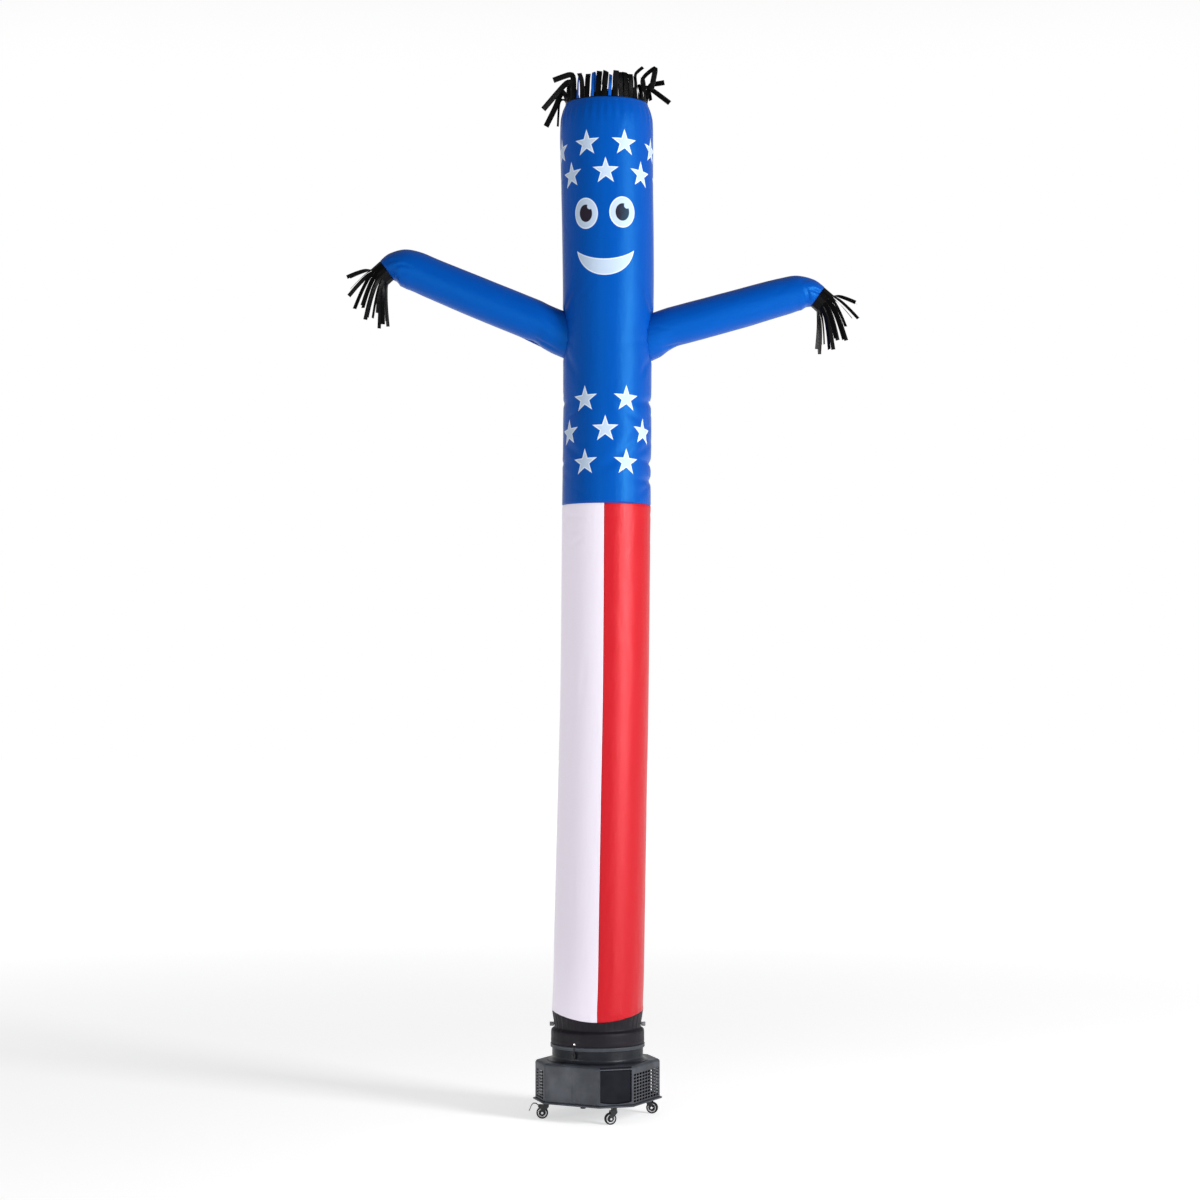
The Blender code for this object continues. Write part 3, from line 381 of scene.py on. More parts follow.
# %% Hard finishes
def grain_finish(name, colour, roughness, grain=420.0, relief=0.00025, metallic=0.0, wear=0.18, shine=0.5):
    finish = Finish(name, **{"Metallic": metallic, "Specular IOR Level": shine})
    place = finish.in_space()
    fine = finish.noise(place, grain, 2.0, 0.6)
    broad = finish.noise(place, 9.0, 4.0, 0.6)
    paler = tuple(min(1.0, c * (1 + 2.2 * wear) + 0.01 * wear) for c in colour)
    darker = tuple(c * (1 - wear) for c in colour)
    base = finish.mix(finish.between(broad, 0.32, 0.72), darker, paler)
    base = finish.mix(fine * 0.25, base, paler)
    rough = finish.between(broad, 0.3, 0.7, roughness + 0.07, roughness - 0.05)
    return finish.feed(Base_Color=base, Roughness=rough, Normal=finish.bump(fine, relief, 0.6))


housing_grey = grain_finish("Grey moulded plastic", (0.034, 0.039, 0.050), 0.46, shine=0.4)
# Painted shade: the sunk panels get this darker plastic because little light reaches them.
recess_painted_shade = grain_finish("Dark recess plastic", (0.003, 0.004, 0.008), 0.60, shine=0.15)
# Painted shade: black for the unlit inside of the case and the base plate's top.
inner_painted_shade = grain_finish("Unlit inner plastic", (0.002, 0.002, 0.002), 0.70, shine=0.0)
# Painted shade: the outlet's grey plastic is darkened well below the case's grey.
outlet_grey_painted_shade = grain_finish("Grey outlet plastic", (0.008, 0.010, 0.015), 0.40, shine=0.3)
grille_grey = grain_finish("Light grille plastic", (0.030, 0.032, 0.040), 0.46, shine=0.35)
knob_grey = grain_finish("Knob plastic", (0.200, 0.205, 0.215), 0.48)
black_plastic = grain_finish("Black plastic", (0.003, 0.003, 0.004), 0.30, shine=0.3)
cord_black = grain_finish("Black braid", (0.005, 0.005, 0.006), 0.70, grain=900.0, relief=0.0004, shine=0.2)
fork_metal = grain_finish("Dark coated steel", (0.010, 0.011, 0.013), 0.36, relief=0.0001, shine=0.4)
zinc = grain_finish("Zinc plate", (0.620, 0.620, 0.630), 0.28, grain=150.0, relief=0.0001, metallic=1.0,
                    wear=0.08)
hub_silver = grain_finish("Silver hub ring", (0.780, 0.785, 0.795), 0.32, relief=0.0001, metallic=0.2,
                          wear=0.06)
hub_dark = grain_finish("Dark hub web", (0.010, 0.011, 0.013), 0.45, shine=0.3)
tyre_rubber = grain_finish("Tyre rubber", (0.005, 0.005, 0.006), 0.60, relief=0.0003, wear=0.3, shine=0.25)
print("hard finishes: 13")

# %% [markdown]
# The floor is one wide pale plane that is lit a little from within, as a light table is, so it runs into the
# white behind it. The world is a procedural studio: white behind the object and along the horizon, and dimmer
# above and in front. Nylon is shaped by what it mirrors, so one tall soft light at the right front draws the
# bright upright band on the tube. A weak wide light fills the front, and a small one lifts the low dark blower
# at its left. The Standard view keeps strong colours as they are.

# %% Floor and light
def area_light(name, place, target, size, power, spread=180):
    light = bpy.data.lights.new(name, "AREA")
    light.spread = math.radians(spread)
    light.shape = "RECTANGLE"
    light.size, light.size_y = size
    light.energy = power
    lamp = bpy.data.objects.new(name, light)
    lamp.location = place
    lamp.rotation_euler = (Vector(target) - Vector(place)).to_track_quat("-Z", "Y").to_euler()
    bpy.context.collection.objects.link(lamp)


FLOOR_HALF = 60.0
floor_mesh = bpy.data.meshes.new("Studio_floor")
floor_corners = [(x * FLOOR_HALF, y * FLOOR_HALF, 0) for x, y in ((-1, -1), (1, -1), (1, 1), (-1, 1))]
floor_mesh.from_pydata(floor_corners, [], [(0, 1, 2, 3)])
floor = bpy.data.objects.new("Studio_floor", floor_mesh)
bpy.context.collection.objects.link(floor)
paper = Finish("Pale floor", **{"Roughness": 0.9, "Specular IOR Level": 0.0, "Emission Strength": 1.0})
blotch = paper.noise(paper.in_space(), 0.6, 2.0)
away = paper.node("ShaderNodeVectorMath", {"operation": "LENGTH"}, {0: paper.in_space()}, output="Value")
glow = paper.mix(paper.between(away, 1.5, 16.0), (0.55, 0.55, 0.55), (0.90, 0.90, 0.90))
pale = paper.mix(blotch, (0.78, 0.78, 0.79), (0.82, 0.82, 0.82))
floor_mesh.materials.append(paper.feed(Base_Color=pale, Emission_Color=glow))

SKY_LOW = 1.0
SKY_HIGH = 0.26
SKY_FRONT = 0.30
SKY_HAZE = 1.0
world = bpy.data.worlds.new("Pale studio")
world.use_nodes = True
bpy.context.scene.world = world
studio = Graph(world.node_tree)
background = world.node_tree.nodes["Background"]
split = studio.node("ShaderNodeSeparateXYZ", inputs={0: studio.node("ShaderNodeTexCoord")})
depth, rise = (Wire(studio, split.socket.node.outputs[i]) for i in (1, 2))


def eased(value, start, stop, height=1.0):
    """0 where the value is at start and height where it is at stop, on a smooth curve."""
    return studio.node("ShaderNodeMapRange", {"interpolation_type": "SMOOTHSTEP"},
                       {0: value, 1: start, 2: stop, 4: height})


behind = eased(depth, 0.80, 0.955)
low = eased(rise, 0.45, 0.22)
front = eased(depth, 0.1, -0.6)
haze = eased(rise, 0.13, -0.02, SKY_HAZE)
bright = behind * low * (SKY_LOW - SKY_HIGH) + SKY_HIGH
bright = (bright + front * low * (SKY_FRONT - SKY_HIGH)).math("MAXIMUM", haze)
studio.join(bright, background.inputs["Strength"])
background.inputs["Color"].default_value = (1.0, 1.0, 1.0, 1.0)
bpy.context.scene.view_settings.view_transform = "Standard"

area_light("Tall key", (7.3, -5.4, 4.1), (0, 0, 3.7), (2.6, 4.6), 820)
area_light("Soft fill", (-3.0, -11.0, 3.0), (0, 0, 2.6), (4.0, 5.0), 120)
area_light("Low side light", (-1.6, -1.10, 0.34), (0, 0, 0.26), (0.4, 0.4), 0.35, 40)
print("lights:", [lamp.name for lamp in bpy.data.objects if lamp.type == "LIGHT"])

# %% [markdown]
# The drawcord runs in a channel at the skirt's foot. Its free end comes out of an eyelet, passes a spring
# toggle and ends bare just below it. It is a curve, so its length is the sum of its steps, and it follows
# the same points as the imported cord.

# %% Drawcord
CORD_RADIUS = 0.0015
CORD_ANGLE = math.radians(240.7)
CORD_REACH = 0.2484
CordPoint = namedtuple("CordPoint", "radius height sideways")
CORD_ROUTE = (
    CordPoint(0.2455, 0.4000, 0.0), CordPoint(0.2475, 0.3920, 0.0), CordPoint(0.2482, 0.3800, 0.0),
    CordPoint(CORD_REACH, 0.3645, 0.0), CordPoint(CORD_REACH, 0.3450, 0.0),
    CordPoint(CORD_REACH, 0.3250, 0.0),
    CordPoint(CORD_REACH, 0.3180, 0.0003), CordPoint(CORD_REACH, 0.3105, 0.0060),
    CordPoint(CORD_REACH, 0.3095, 0.0140), CordPoint(CORD_REACH, 0.3150, 0.0220),
)
CORD_STEPS = 34


def on_skirt(radius, height, sideways=0.0):
    out = Vector((math.cos(CORD_ANGLE), math.sin(CORD_ANGLE), 0))
    side = Vector((math.sin(CORD_ANGLE), -math.cos(CORD_ANGLE), 0))
    return out * radius + side * sideways + Vector((0, 0, height))


def curve_points(route, count):
    """Points evenly shared out on one smooth curve through a route."""
    points = []
    last = len(route) - 1
    for step in range(count):
        place = step / (count - 1) * last
        i = min(int(place), last - 1)
        t = place - i
        a, b, c, d = (route[min(max(i + k, 0), last)] for k in (-1, 0, 1, 2))
        bend = (c - a) * t + (2 * a - 5 * b + 4 * c - d) * t ** 2 + (3 * b - a - 3 * c + d) * t ** 3
        points.append(b + 0.5 * bend)
    return points


route = curve_points([on_skirt(*point) for point in CORD_ROUTE], CORD_STEPS)
cord_curve = bpy.data.curves.new("Drawcord", "CURVE")
cord_curve.dimensions = "3D"
cord_curve.bevel_depth = CORD_RADIUS
cord_curve.bevel_resolution = 3
cord_curve.use_fill_caps = True
spline = cord_curve.splines.new("POLY")
spline.points.add(CORD_STEPS - 1)
for point, place in zip(spline.points, route):
    point.co = (*place, 1.0)
cord_curve.materials.append(cord_black)
drawcord = bpy.data.objects.new("Drawcord", cord_curve)
bpy.context.collection.objects.link(drawcord)
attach(drawcord, "root")
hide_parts("drawcord", "cord_tail")
cord_length = sum((b - a).length for a, b in zip(route, route[1:]))
print("drawcord", round(cord_length * 1000), "mm long")

# %% [markdown]
# Lathe-turned pieces are a section spun once round an axis. One helper makes them all, and another turns any
# mesh into a piece that rides on a body, with its finish.

# %% Turned pieces
def make_piece(name, mesh, finish, body="root", stands_for=()):
    mesh.materials.clear()
    mesh.materials.append(finish)
    piece = bpy.data.objects.new(name, mesh)
    bpy.context.collection.objects.link(piece)
    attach(piece, body)
    if stands_for:
        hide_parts(*stands_for)
    return piece


def mesh_from(bm, name, smooth_angle=35):
    bmesh.ops.recalc_face_normals(bm, faces=bm.faces)
    mesh = bpy.data.meshes.new(name)
    bm.to_mesh(mesh)
    bm.free()
    mesh.shade_smooth()
    mesh.set_sharp_from_angle(angle=math.radians(smooth_angle))
    return mesh


def turned(section, steps, place=Matrix.Identity(4)):
    """Spin a section of (radius, height) round Z and put it in its place."""
    bm = bmesh.new()
    verts = [bm.verts.new((radius, 0, height)) for radius, height in section]
    edges = [bm.edges.new(pair) for pair in zip(verts, verts[1:])]
    if section[0][0] > 0:
        edges.append(bm.edges.new((verts[-1], verts[0])))
    bmesh.ops.spin(bm, geom=verts + edges, cent=(0, 0, 0), axis=(0, 0, 1), steps=steps, angle=math.tau,
                   use_merge=True)
    bmesh.ops.remove_doubles(bm, verts=bm.verts, dist=1e-6)
    bmesh.ops.transform(bm, matrix=place, verts=bm.verts)
    return bm


def round_corner(centre, radius, start, stop, steps=4):
    """Points of an arc in a section, angles in degrees."""
    return [(centre[0] + radius * math.cos(math.radians(a)), centre[1] + radius * math.sin(math.radians(a)))
            for a in np.linspace(start, stop, steps + 1)]


TOGGLE_BODY = 0.0102
TOGGLE_WAIST = TOGGLE_BODY - 0.0006
toggle_section = [
    (0.0, 0.3253), (0.0058, 0.3253), *round_corner((0.0062, 0.3276), 0.0023, -90, 0),
    (TOGGLE_WAIST, 0.3320), (TOGGLE_WAIST, 0.3332), (TOGGLE_BODY, 0.3338), (TOGGLE_BODY, 0.3440),
    (TOGGLE_WAIST, 0.3446), (TOGGLE_WAIST, 0.3458), (TOGGLE_BODY, 0.3464),
    *round_corner((0.0065, 0.3500), 0.0020, 0, 90), (0.0056, 0.3521), (0.0055, 0.3522),
    (0.0055, 0.3600), *round_corner((0.0035, 0.3622), 0.0020, 0, 90), (0.0, 0.3642),
]
TOGGLE_SEAT = Matrix.Translation(on_skirt(CORD_REACH, 0))
toggle = make_piece("Cord_toggle", mesh_from(turned(toggle_section, 40, TOGGLE_SEAT), "Cord_toggle"),
                    black_plastic, stands_for=["cord_lock"])

EYELET_SEAT = Matrix.Translation(on_skirt(0.2432, 0.4)) @ Matrix.Rotation(CORD_ANGLE, 4, "Z") \
    @ Matrix.Rotation(math.pi / 2, 4, "Y")
eyelet_section = [(0.0022, 0.0003), (0.0055, 0.0003), *round_corner((0.0046, 0.0006), 0.0009, 0, 90),
                  *round_corner((0.0031, 0.0006), 0.0009, 90, 180)]
eyelet = make_piece("Cord_eyelet", mesh_from(turned(eyelet_section, 40, EYELET_SEAT), "Cord_eyelet"), zinc,
                    stands_for=["eyelet"])
print("toggle and eyelet:", len(toggle.data.polygons) + len(eyelet.data.polygons), "faces")

# %% [markdown]
# Air-filled cloth has a simple rule: a tube whose middle and width follow a short table. On top of that lie
# small pushes in and out, all worked out with numpy for the whole grid at once: dents where the tube bends,
# soft creases, and short ripples that run away from every seam. Each grid becomes one thin sheet that keeps a
# map in metres, so the prints and the weave follow the cloth.

# %% The tube's form
CLOTH_WALL = 0.0012
WAIST_HEIGHT = 3.185
RIM_HEIGHT = 5.275
HEM_HEIGHT = 0.557
HEM_DIP = 0.042
SKIRT_FOOT = 0.387
SEAM_GAP = 0.0003
MEAN_RADIUS = 0.235

TubeRow = namedtuple("TubeRow", "height centre_x diameter")
TUBE = (
    TubeRow(0.387, 0.000, 0.485), TubeRow(0.440, 0.000, 0.486), TubeRow(0.455, 0.000, 0.482),
    TubeRow(0.469, 0.000, 0.450), TubeRow(0.490, 0.000, 0.452), TubeRow(0.530, 0.000, 0.466),
    TubeRow(0.557, 0.000, 0.474), TubeRow(0.710, 0.005, 0.473), TubeRow(1.024, 0.011, 0.472),
    TubeRow(1.651, 0.024, 0.466), TubeRow(2.277, 0.037, 0.461), TubeRow(3.216, 0.046, 0.462),
    TubeRow(3.560, 0.050, 0.461), TubeRow(3.937, 0.051, 0.462), TubeRow(4.313, 0.056, 0.475),
    TubeRow(4.584, 0.054, 0.478), TubeRow(4.845, 0.050, 0.480), TubeRow(5.130, 0.047, 0.486),
    TubeRow(5.185, 0.047, 0.481), TubeRow(5.240, 0.047, 0.457), TubeRow(5.275, 0.047, 0.431),
)


def smooth_column(rows, column, at):
    """Read a column of a table at many places, on a curve that never overshoots its rows."""
    places = np.array([row[0] for row in rows])
    values = np.array([getattr(row, column) for row in rows])
    steps = np.diff(values) / np.diff(places)
    product = steps[:-1] * steps[1:]
    slopes = np.zeros(len(rows))
    turning = product > 0
    slopes[1:-1][turning] = 2 * product[turning] / (steps[:-1] + steps[1:])[turning]
    i = np.clip(np.searchsorted(places, at) - 1, 0, len(rows) - 2)
    span = places[i + 1] - places[i]
    t = np.clip((at - places[i]) / span, 0, 1)
    bend = span * t * (1 - t) * (slopes[i] * (1 - t) - slopes[i + 1] * t)
    return values[i] + (values[i + 1] - values[i]) * t * t * (3 - 2 * t) + bend


Dent = namedtuple("Dent", "height side depth reach")
DENTS = (Dent(3.717, 90, 0.005, 0.05), Dent(3.404, 85, 0.006, 0.035), Dent(3.310, 95, 0.006, 0.035),
         Dent(3.717, -90, 0.003, 0.05))


def tube_radius(angle, height):
    """Radius of the smooth tube. The angle is measured from the front, towards +X."""
    radius = smooth_column(TUBE, "diameter", height) / 2
    for mark in DENTS:
        facing = np.maximum(0, np.cos(angle - math.radians(mark.side)))
        radius = radius - mark.depth * facing ** 3 * np.exp(-(((height - mark.height) / mark.reach) ** 2))
    return radius


def tube_points(angle, height, radius):
    centre = smooth_column(TUBE, "centre_x", height)
    return np.stack([centre + radius * np.sin(angle), -radius * np.cos(angle), height + 0 * angle], axis=-1)


print("tube is", round(RIM_HEIGHT - SKIRT_FOOT, 3), "m tall and",
      round(float(tube_radius(0.0, 4.845)) * 2, 3), "m across at the head")

# %% [markdown]
# A crease is a soft valley between two low ridges. Its place is across from the front centre and up from the
# ground, in metres, and tilt is its slope in degrees. Ripples stand where a seam gathers thin cloth, as waves
# along the seam that die away beside it.

# %% Creases and ripples
Crease = namedtuple("Crease", "across up tilt reach width depth")


def crease_push(creases, across, up, round_trip=1.5):
    push = np.zeros(np.broadcast(across, up).shape)
    for crease in creases:
        beside = (across - crease.across + round_trip / 2) % round_trip - round_trip / 2
        above = up - crease.up
        c, s = math.cos(math.radians(crease.tilt)), math.sin(math.radians(crease.tilt))
        along = (beside * c + above * s) / crease.reach
        off = (above * c - beside * s) / crease.width
        valley = np.exp(-off ** 2) - 0.4 * np.exp(-(off / 2.4) ** 2)
        push -= crease.depth * np.exp(-2 * along ** 2) * valley
    return push


def scattered_creases(seed, count, across_range, up_range, tilt_range, reach, width, depth):
    """A table of small creases in random places, the same each time."""
    dice = np.random.default_rng(seed)
    creases = []
    for _ in range(count):
        tilt = dice.uniform(*tilt_range) * dice.choice((-1, 1))
        size = dice.uniform(0.5, 1.0)
        creases.append(Crease(dice.uniform(*across_range), dice.uniform(*up_range), tilt, reach * size,
                              width * dice.uniform(0.6, 1.2), depth * size))
    return creases


def ripples(along, off, depth=0.0014, reach=0.022, pitch=0.024):
    """Short ripples beside a gathered seam. along runs on the seam and off is the distance from it."""
    off = np.abs(off)
    wander = 1.9 * np.sin(along * 11.3) + 1.1 * np.sin(along * 27.1 + 1.0)
    waves = np.sin(math.tau * along / pitch + wander)
    waves = waves + 0.5 * np.sin(math.tau * along / (0.57 * pitch) - wander)
    strength = 0.6 + 0.4 * np.sin(along * 7.7 + 0.5)
    return depth * waves * strength * np.exp(-off / reach) - 1.6 * depth * np.exp(-(off / 0.004) ** 2)


print("creases and ripples ready")

# %% [markdown]
# A grid of places becomes a sheet: quads, a map in metres on their corners, and a Solidify modifier that gives
# the wall its thickness inwards, so the outer face stays where the formula put it.

# %% Cloth from grids
def cloth_sheet(name, places, across, up, finish, nodes, ring=False, keep=None, wall=CLOTH_WALL):
    """rows run upwards and columns towards +X. A ring's last column lies on its first one."""
    rows, columns = places.shape[:2]
    span = columns - 1 if ring else columns
    r, c = np.meshgrid(np.arange(rows - 1), np.arange(columns - 1), indexing="ij")
    if keep is not None:
        r, c = r[keep], c[keep]
    corners = ((r, c), (r, c + 1), (r + 1, c + 1), (r + 1, c))
    faces = np.stack([row * span + column % span for row, column in corners], axis=-1).reshape(-1, 4)
    maps = np.stack([np.stack([across[p], up[p]], axis=-1) for p in corners], axis=-2).reshape(-1, 2)
    mesh = bpy.data.meshes.new(name)
    mesh.from_pydata(places[:, :span].reshape(-1, 3), [], faces)
    mesh.uv_layers.new(name=FABRIC_MAP).uv.foreach_set("vector", maps.ravel())
    mesh.shade_smooth()
    loose = bmesh.new()
    loose.from_mesh(mesh)
    bmesh.ops.delete(loose, geom=[v for v in loose.verts if not v.link_faces], context="VERTS")
    loose.to_mesh(mesh)
    loose.free()
    piece = make_piece(name, mesh, finish, stands_for=nodes)
    thicken = piece.modifiers.new("Cloth wall", "SOLIDIFY")
    thicken.thickness = wall
    thicken.offset = -1
    return piece


def spread(stops, step):
    """Places along a line, no further apart than step, that pass through every stop."""
    runs = [np.linspace(a, b, max(2, math.ceil((b - a) / step) + 1))[:-1] for a, b in zip(stops, stops[1:])]
    return np.concatenate([*runs, [stops[-1]]])


print("cloth helper ready")

# %% [markdown]
# Each sleeve is a second table: the reach, height, widths and slope of its sections, out to the narrow hand.
# Its root has to meet the body exactly, as a sewn sleeve does, so every lengthwise line of the sleeve is
# walked outwards until it leaves the body, and the sheet starts there.

# %% The sleeves' form
ArmRow = namedtuple("ArmRow", "reach height across deep turn")
LEFT_ARM = (
    ArmRow(0.130, 4.060, 0.232, 0.208, 22), ArmRow(0.185, 4.082, 0.228, 0.208, 23),
    ArmRow(0.240, 4.108, 0.219, 0.207, 26), ArmRow(0.290, 4.136, 0.206, 0.207, 24),
    ArmRow(0.345, 4.158, 0.215, 0.207, 22), ArmRow(0.600, 4.261, 0.214, 0.206, 22),
    ArmRow(0.860, 4.369, 0.207, 0.204, 22), ArmRow(0.960, 4.411, 0.205, 0.203, 18),
    ArmRow(1.020, 4.425, 0.192, 0.196, 4), ArmRow(1.064, 4.424, 0.158, 0.170, -16),
    ArmRow(1.100, 4.411, 0.121, 0.125, -36),
)
RIGHT_ARM = (
    ArmRow(0.235, 4.048, 0.236, 0.206, 17), ArmRow(0.285, 4.069, 0.232, 0.206, 19),
    ArmRow(0.340, 4.098, 0.210, 0.205, 22), ArmRow(0.390, 4.118, 0.205, 0.204, 18),
    ArmRow(0.440, 4.131, 0.206, 0.203, 15), ArmRow(0.740, 4.212, 0.203, 0.200, 15),
    ArmRow(0.980, 4.279, 0.192, 0.196, 14), ArmRow(1.050, 4.294, 0.181, 0.190, 4),
    ArmRow(1.105, 4.292, 0.152, 0.168, -16), ArmRow(1.149, 4.2735, 0.122, 0.126, -35),
)
SleeveRow = namedtuple("SleeveRow", "length reach height across deep turn")


def sleeve_rows(rows):
    """The same table, with the length along the sleeve worked out."""
    length, table = 0.0, []
    for i, row in enumerate(rows):
        if i:
            length += math.hypot(row.reach - rows[i - 1].reach, row.height - rows[i - 1].height)
        table.append(SleeveRow(length, *row))
    return table


SLEEVES = {-1: sleeve_rows(LEFT_ARM), 1: sleeve_rows(RIGHT_ARM)}


def sleeve_points(side, angle, length, push=0.0):
    """Places on a sleeve. The angle is 0 on its top line, and push moves them outwards."""
    rows = SLEEVES[side]
    turn = np.radians(smooth_column(rows, "turn", length))
    rise = (smooth_column(rows, "across", length) / 2 + push) * np.cos(angle)
    front = (smooth_column(rows, "deep", length) / 2 + push) * np.sin(angle)
    x = side * (smooth_column(rows, "reach", length) - np.sin(turn) * rise)
    z = smooth_column(rows, "height", length) + np.cos(turn) * rise
    return np.stack([x, -side * front, z], axis=-1)


def port_distance(side, points):
    """How far places near the body lie outside a sleeve's root, in metres, below zero inside it."""
    rows = SLEEVES[side]
    lengths = np.linspace(0, 0.25, 60)
    turn = np.radians(smooth_column(rows, "turn", lengths))
    x, z = side * points[..., 0, None], points[..., 2, None]
    dx, dz = x - smooth_column(rows, "reach", lengths), z - smooth_column(rows, "height", lengths)
    past = np.abs(dx * np.cos(turn) + dz * np.sin(turn))
    nearest = np.argmin(past, axis=-1)[..., None]
    rise = np.take_along_axis(dz * np.cos(turn) - dx * np.sin(turn), nearest, axis=-1)[..., 0]
    half_high = smooth_column(rows, "across", lengths)[nearest[..., 0]] / 2
    half_deep = smooth_column(rows, "deep", lengths)[nearest[..., 0]] / 2
    share = np.hypot(rise / half_high, points[..., 1] / half_deep)
    facing = side * points[..., 0] > 0.08
    return np.where(facing, (share - 1) * half_high, 1.0)


print("sleeves:", {side: round(rows[-1].length, 3) for side, rows in SLEEVES.items()}, "m along the middle")

# %% [markdown]
# The blue body runs from the waist seam to the rounded shoulder at the open top. It creases where it bends,
# most on its right side, and it is pulled into a low groove all round each sleeve. The part of the grid that
# lies inside a sleeve is left out, so air could pass.

# %% Blue body
BODY_COLUMNS = 168
BODY_STEP = 0.0115
PORT_STEP = 0.008
BODY_CREASES = [
    Crease(0.30, 3.716, 4, 0.16, 0.018, 0.010), Crease(0.36, 3.404, -3, 0.20, 0.014, 0.011),
    Crease(0.34, 3.312, 3, 0.18, 0.014, 0.010), Crease(-0.36, 3.716, -3, 0.12, 0.014, 0.006),
    Crease(-0.36, 3.404, 2, 0.10, 0.012, 0.006), Crease(0.13, 3.500, 40, 0.16, 0.030, 0.006),
    Crease(0.20, 3.455, 24, 0.15, 0.018, 0.005), Crease(0.05, 3.415, 35, 0.14, 0.026, 0.004),
    Crease(0.22, 3.600, -28, 0.14, 0.020, 0.005), Crease(0.10, 3.660, -36, 0.13, 0.028, 0.004),
    Crease(-0.20, 3.460, -32, 0.13, 0.022, 0.004), Crease(-0.22, 3.640, 30, 0.13, 0.022, 0.004),
    Crease(0.24, 3.260, 28, 0.12, 0.018, 0.004), Crease(0.28, 4.210, -52, 0.16, 0.022, 0.006),
    Crease(-0.26, 4.240, 48, 0.15, 0.022, 0.005), Crease(0.24, 3.900, 46, 0.14, 0.022, 0.005),
    Crease(-0.24, 3.930, -50, 0.14, 0.022, 0.005), Crease(0.16, 4.020, 12, 0.10, 0.020, 0.003),
]
BODY_CREASES += scattered_creases(11, 46, (-0.75, 0.75), (3.25, 5.10), (35, 85), 0.13, 0.014, 0.0016)
BODY_CREASES += scattered_creases(12, 26, (-0.75, 0.75), (3.24, 3.80), (2, 35), 0.10, 0.012, 0.0026)
SHOULDER_FOLDS = 34


def body_push(angle, height):
    """Everything that moves the blue body's cloth off the smooth tube."""
    radius = tube_radius(angle, height)
    across = radius * angle
    push = crease_push(BODY_CREASES, across, height)
    push += ripples(across, height - WAIST_HEIGHT, 0.0013, 0.030)
    shoulder = np.exp(-((height - 5.205) / 0.045) ** 2)
    wander = 0.8 * np.sin(3 * angle + 1.0) + 0.5 * np.sin(7 * angle)
    push += shoulder * (0.0017 * np.sin(SHOULDER_FOLDS * angle + wander) - 0.0008)
    places = tube_points(angle, height, radius)
    for side in SLEEVES:
        off = port_distance(side, places)
        round_port = np.arctan2(places[..., 2] - 4.10, places[..., 1])
        push -= 0.0035 * np.exp(-(off / 0.010) ** 2)
        push += 0.0022 * np.sin(17 * round_port + 1.5 * np.sin(3 * round_port)) * np.exp(-np.abs(off) / 0.030)
    return push


body_heights = spread([WAIST_HEIGHT + SEAM_GAP / 2, 3.200, 3.85, 4.42, 5.150, RIM_HEIGHT - 0.014, RIM_HEIGHT],
                      BODY_STEP)
angle, height = np.meshgrid(np.linspace(-math.pi, math.pi, BODY_COLUMNS + 1), body_heights)
radius = tube_radius(angle, height)
places = tube_points(angle, height, radius + body_push(angle, height))
middles = (places[:-1, :-1] + places[1:, 1:]) / 2
outside_ports = np.min([port_distance(side, middles) for side in SLEEVES], axis=0) > -PORT_STEP
blue_body = cloth_sheet("Blue_body", places, radius * angle, height, blue_printed,
                        ["body_blue"], ring=True, keep=outside_ports)
print("blue body:", len(blue_body.data.polygons), "quads, ports cut from", int((~outside_ports).sum()))

# %% [markdown]
# The sleeves start where each of their lines leaves the body. A kink under each root and the bend of the hand
# gather the cloth into short creases, and small ripples run away from the seams at both ends.

# %% Sleeves
SLEEVE_COLUMNS = 84
SLEEVE_STEP = 0.009
ROOT_SINK = 0.0010
LEFT_CREASES = [
    Crease(0.30, 0.115, 82, 0.10, 0.013, 0.008), Crease(-0.28, 0.110, 80, 0.09, 0.012, 0.007),
    Crease(-0.18, 0.130, 60, 0.07, 0.010, 0.004), Crease(-0.15, 0.955, 74, 0.07, 0.010, 0.006),
    Crease(-0.10, 1.000, 52, 0.05, 0.009, 0.006), Crease(0.15, 0.960, 84, 0.07, 0.010, 0.005),
    Crease(-0.20, 1.000, 88, 0.08, 0.010, 0.006), Crease(0.22, 0.995, 86, 0.08, 0.010, 0.005),
]
RIGHT_CREASES = [
    Crease(-0.30, 0.110, 82, 0.10, 0.013, 0.008), Crease(0.28, 0.112, 80, 0.09, 0.012, 0.007),
    Crease(0.17, 0.125, 64, 0.07, 0.010, 0.004), Crease(0.087, 0.940, -53, 0.055, 0.009, 0.014),
    Crease(0.145, 0.905, 38, 0.045, 0.009, 0.014), Crease(0.165, 0.955, 76, 0.05, 0.009, 0.007),
    Crease(0.065, 0.880, -35, 0.05, 0.010, 0.005), Crease(-0.18, 0.890, 84, 0.08, 0.010, 0.006),
]
SLEEVE_CREASES = {
    -1: LEFT_CREASES + scattered_creases(21, 22, (-0.33, 0.33), (0.10, 1.05), (50, 88), 0.08, 0.010, 0.0018),
    1: RIGHT_CREASES + scattered_creases(22, 22, (-0.33, 0.33), (0.10, 0.95), (50, 88), 0.08, 0.010, 0.0018),
}


def sleeve_start(side, angle):
    """The length along each line of the sleeve at which it leaves the body."""
    lengths = np.linspace(0, 0.30, 601)
    a, length = np.meshgrid(angle, lengths)
    points = sleeve_points(side, a, length)
    centre = smooth_column(TUBE, "centre_x", points[..., 2])
    body_angle = np.arctan2(points[..., 0] - centre, -points[..., 1])
    out = np.hypot(points[..., 0] - centre, points[..., 1])
    surface = tube_radius(body_angle, points[..., 2]) + body_push(body_angle, points[..., 2]) - ROOT_SINK
    last_inside = len(lengths) - 1 - np.argmax((out < surface)[::-1], axis=0)
    return lengths[last_inside]


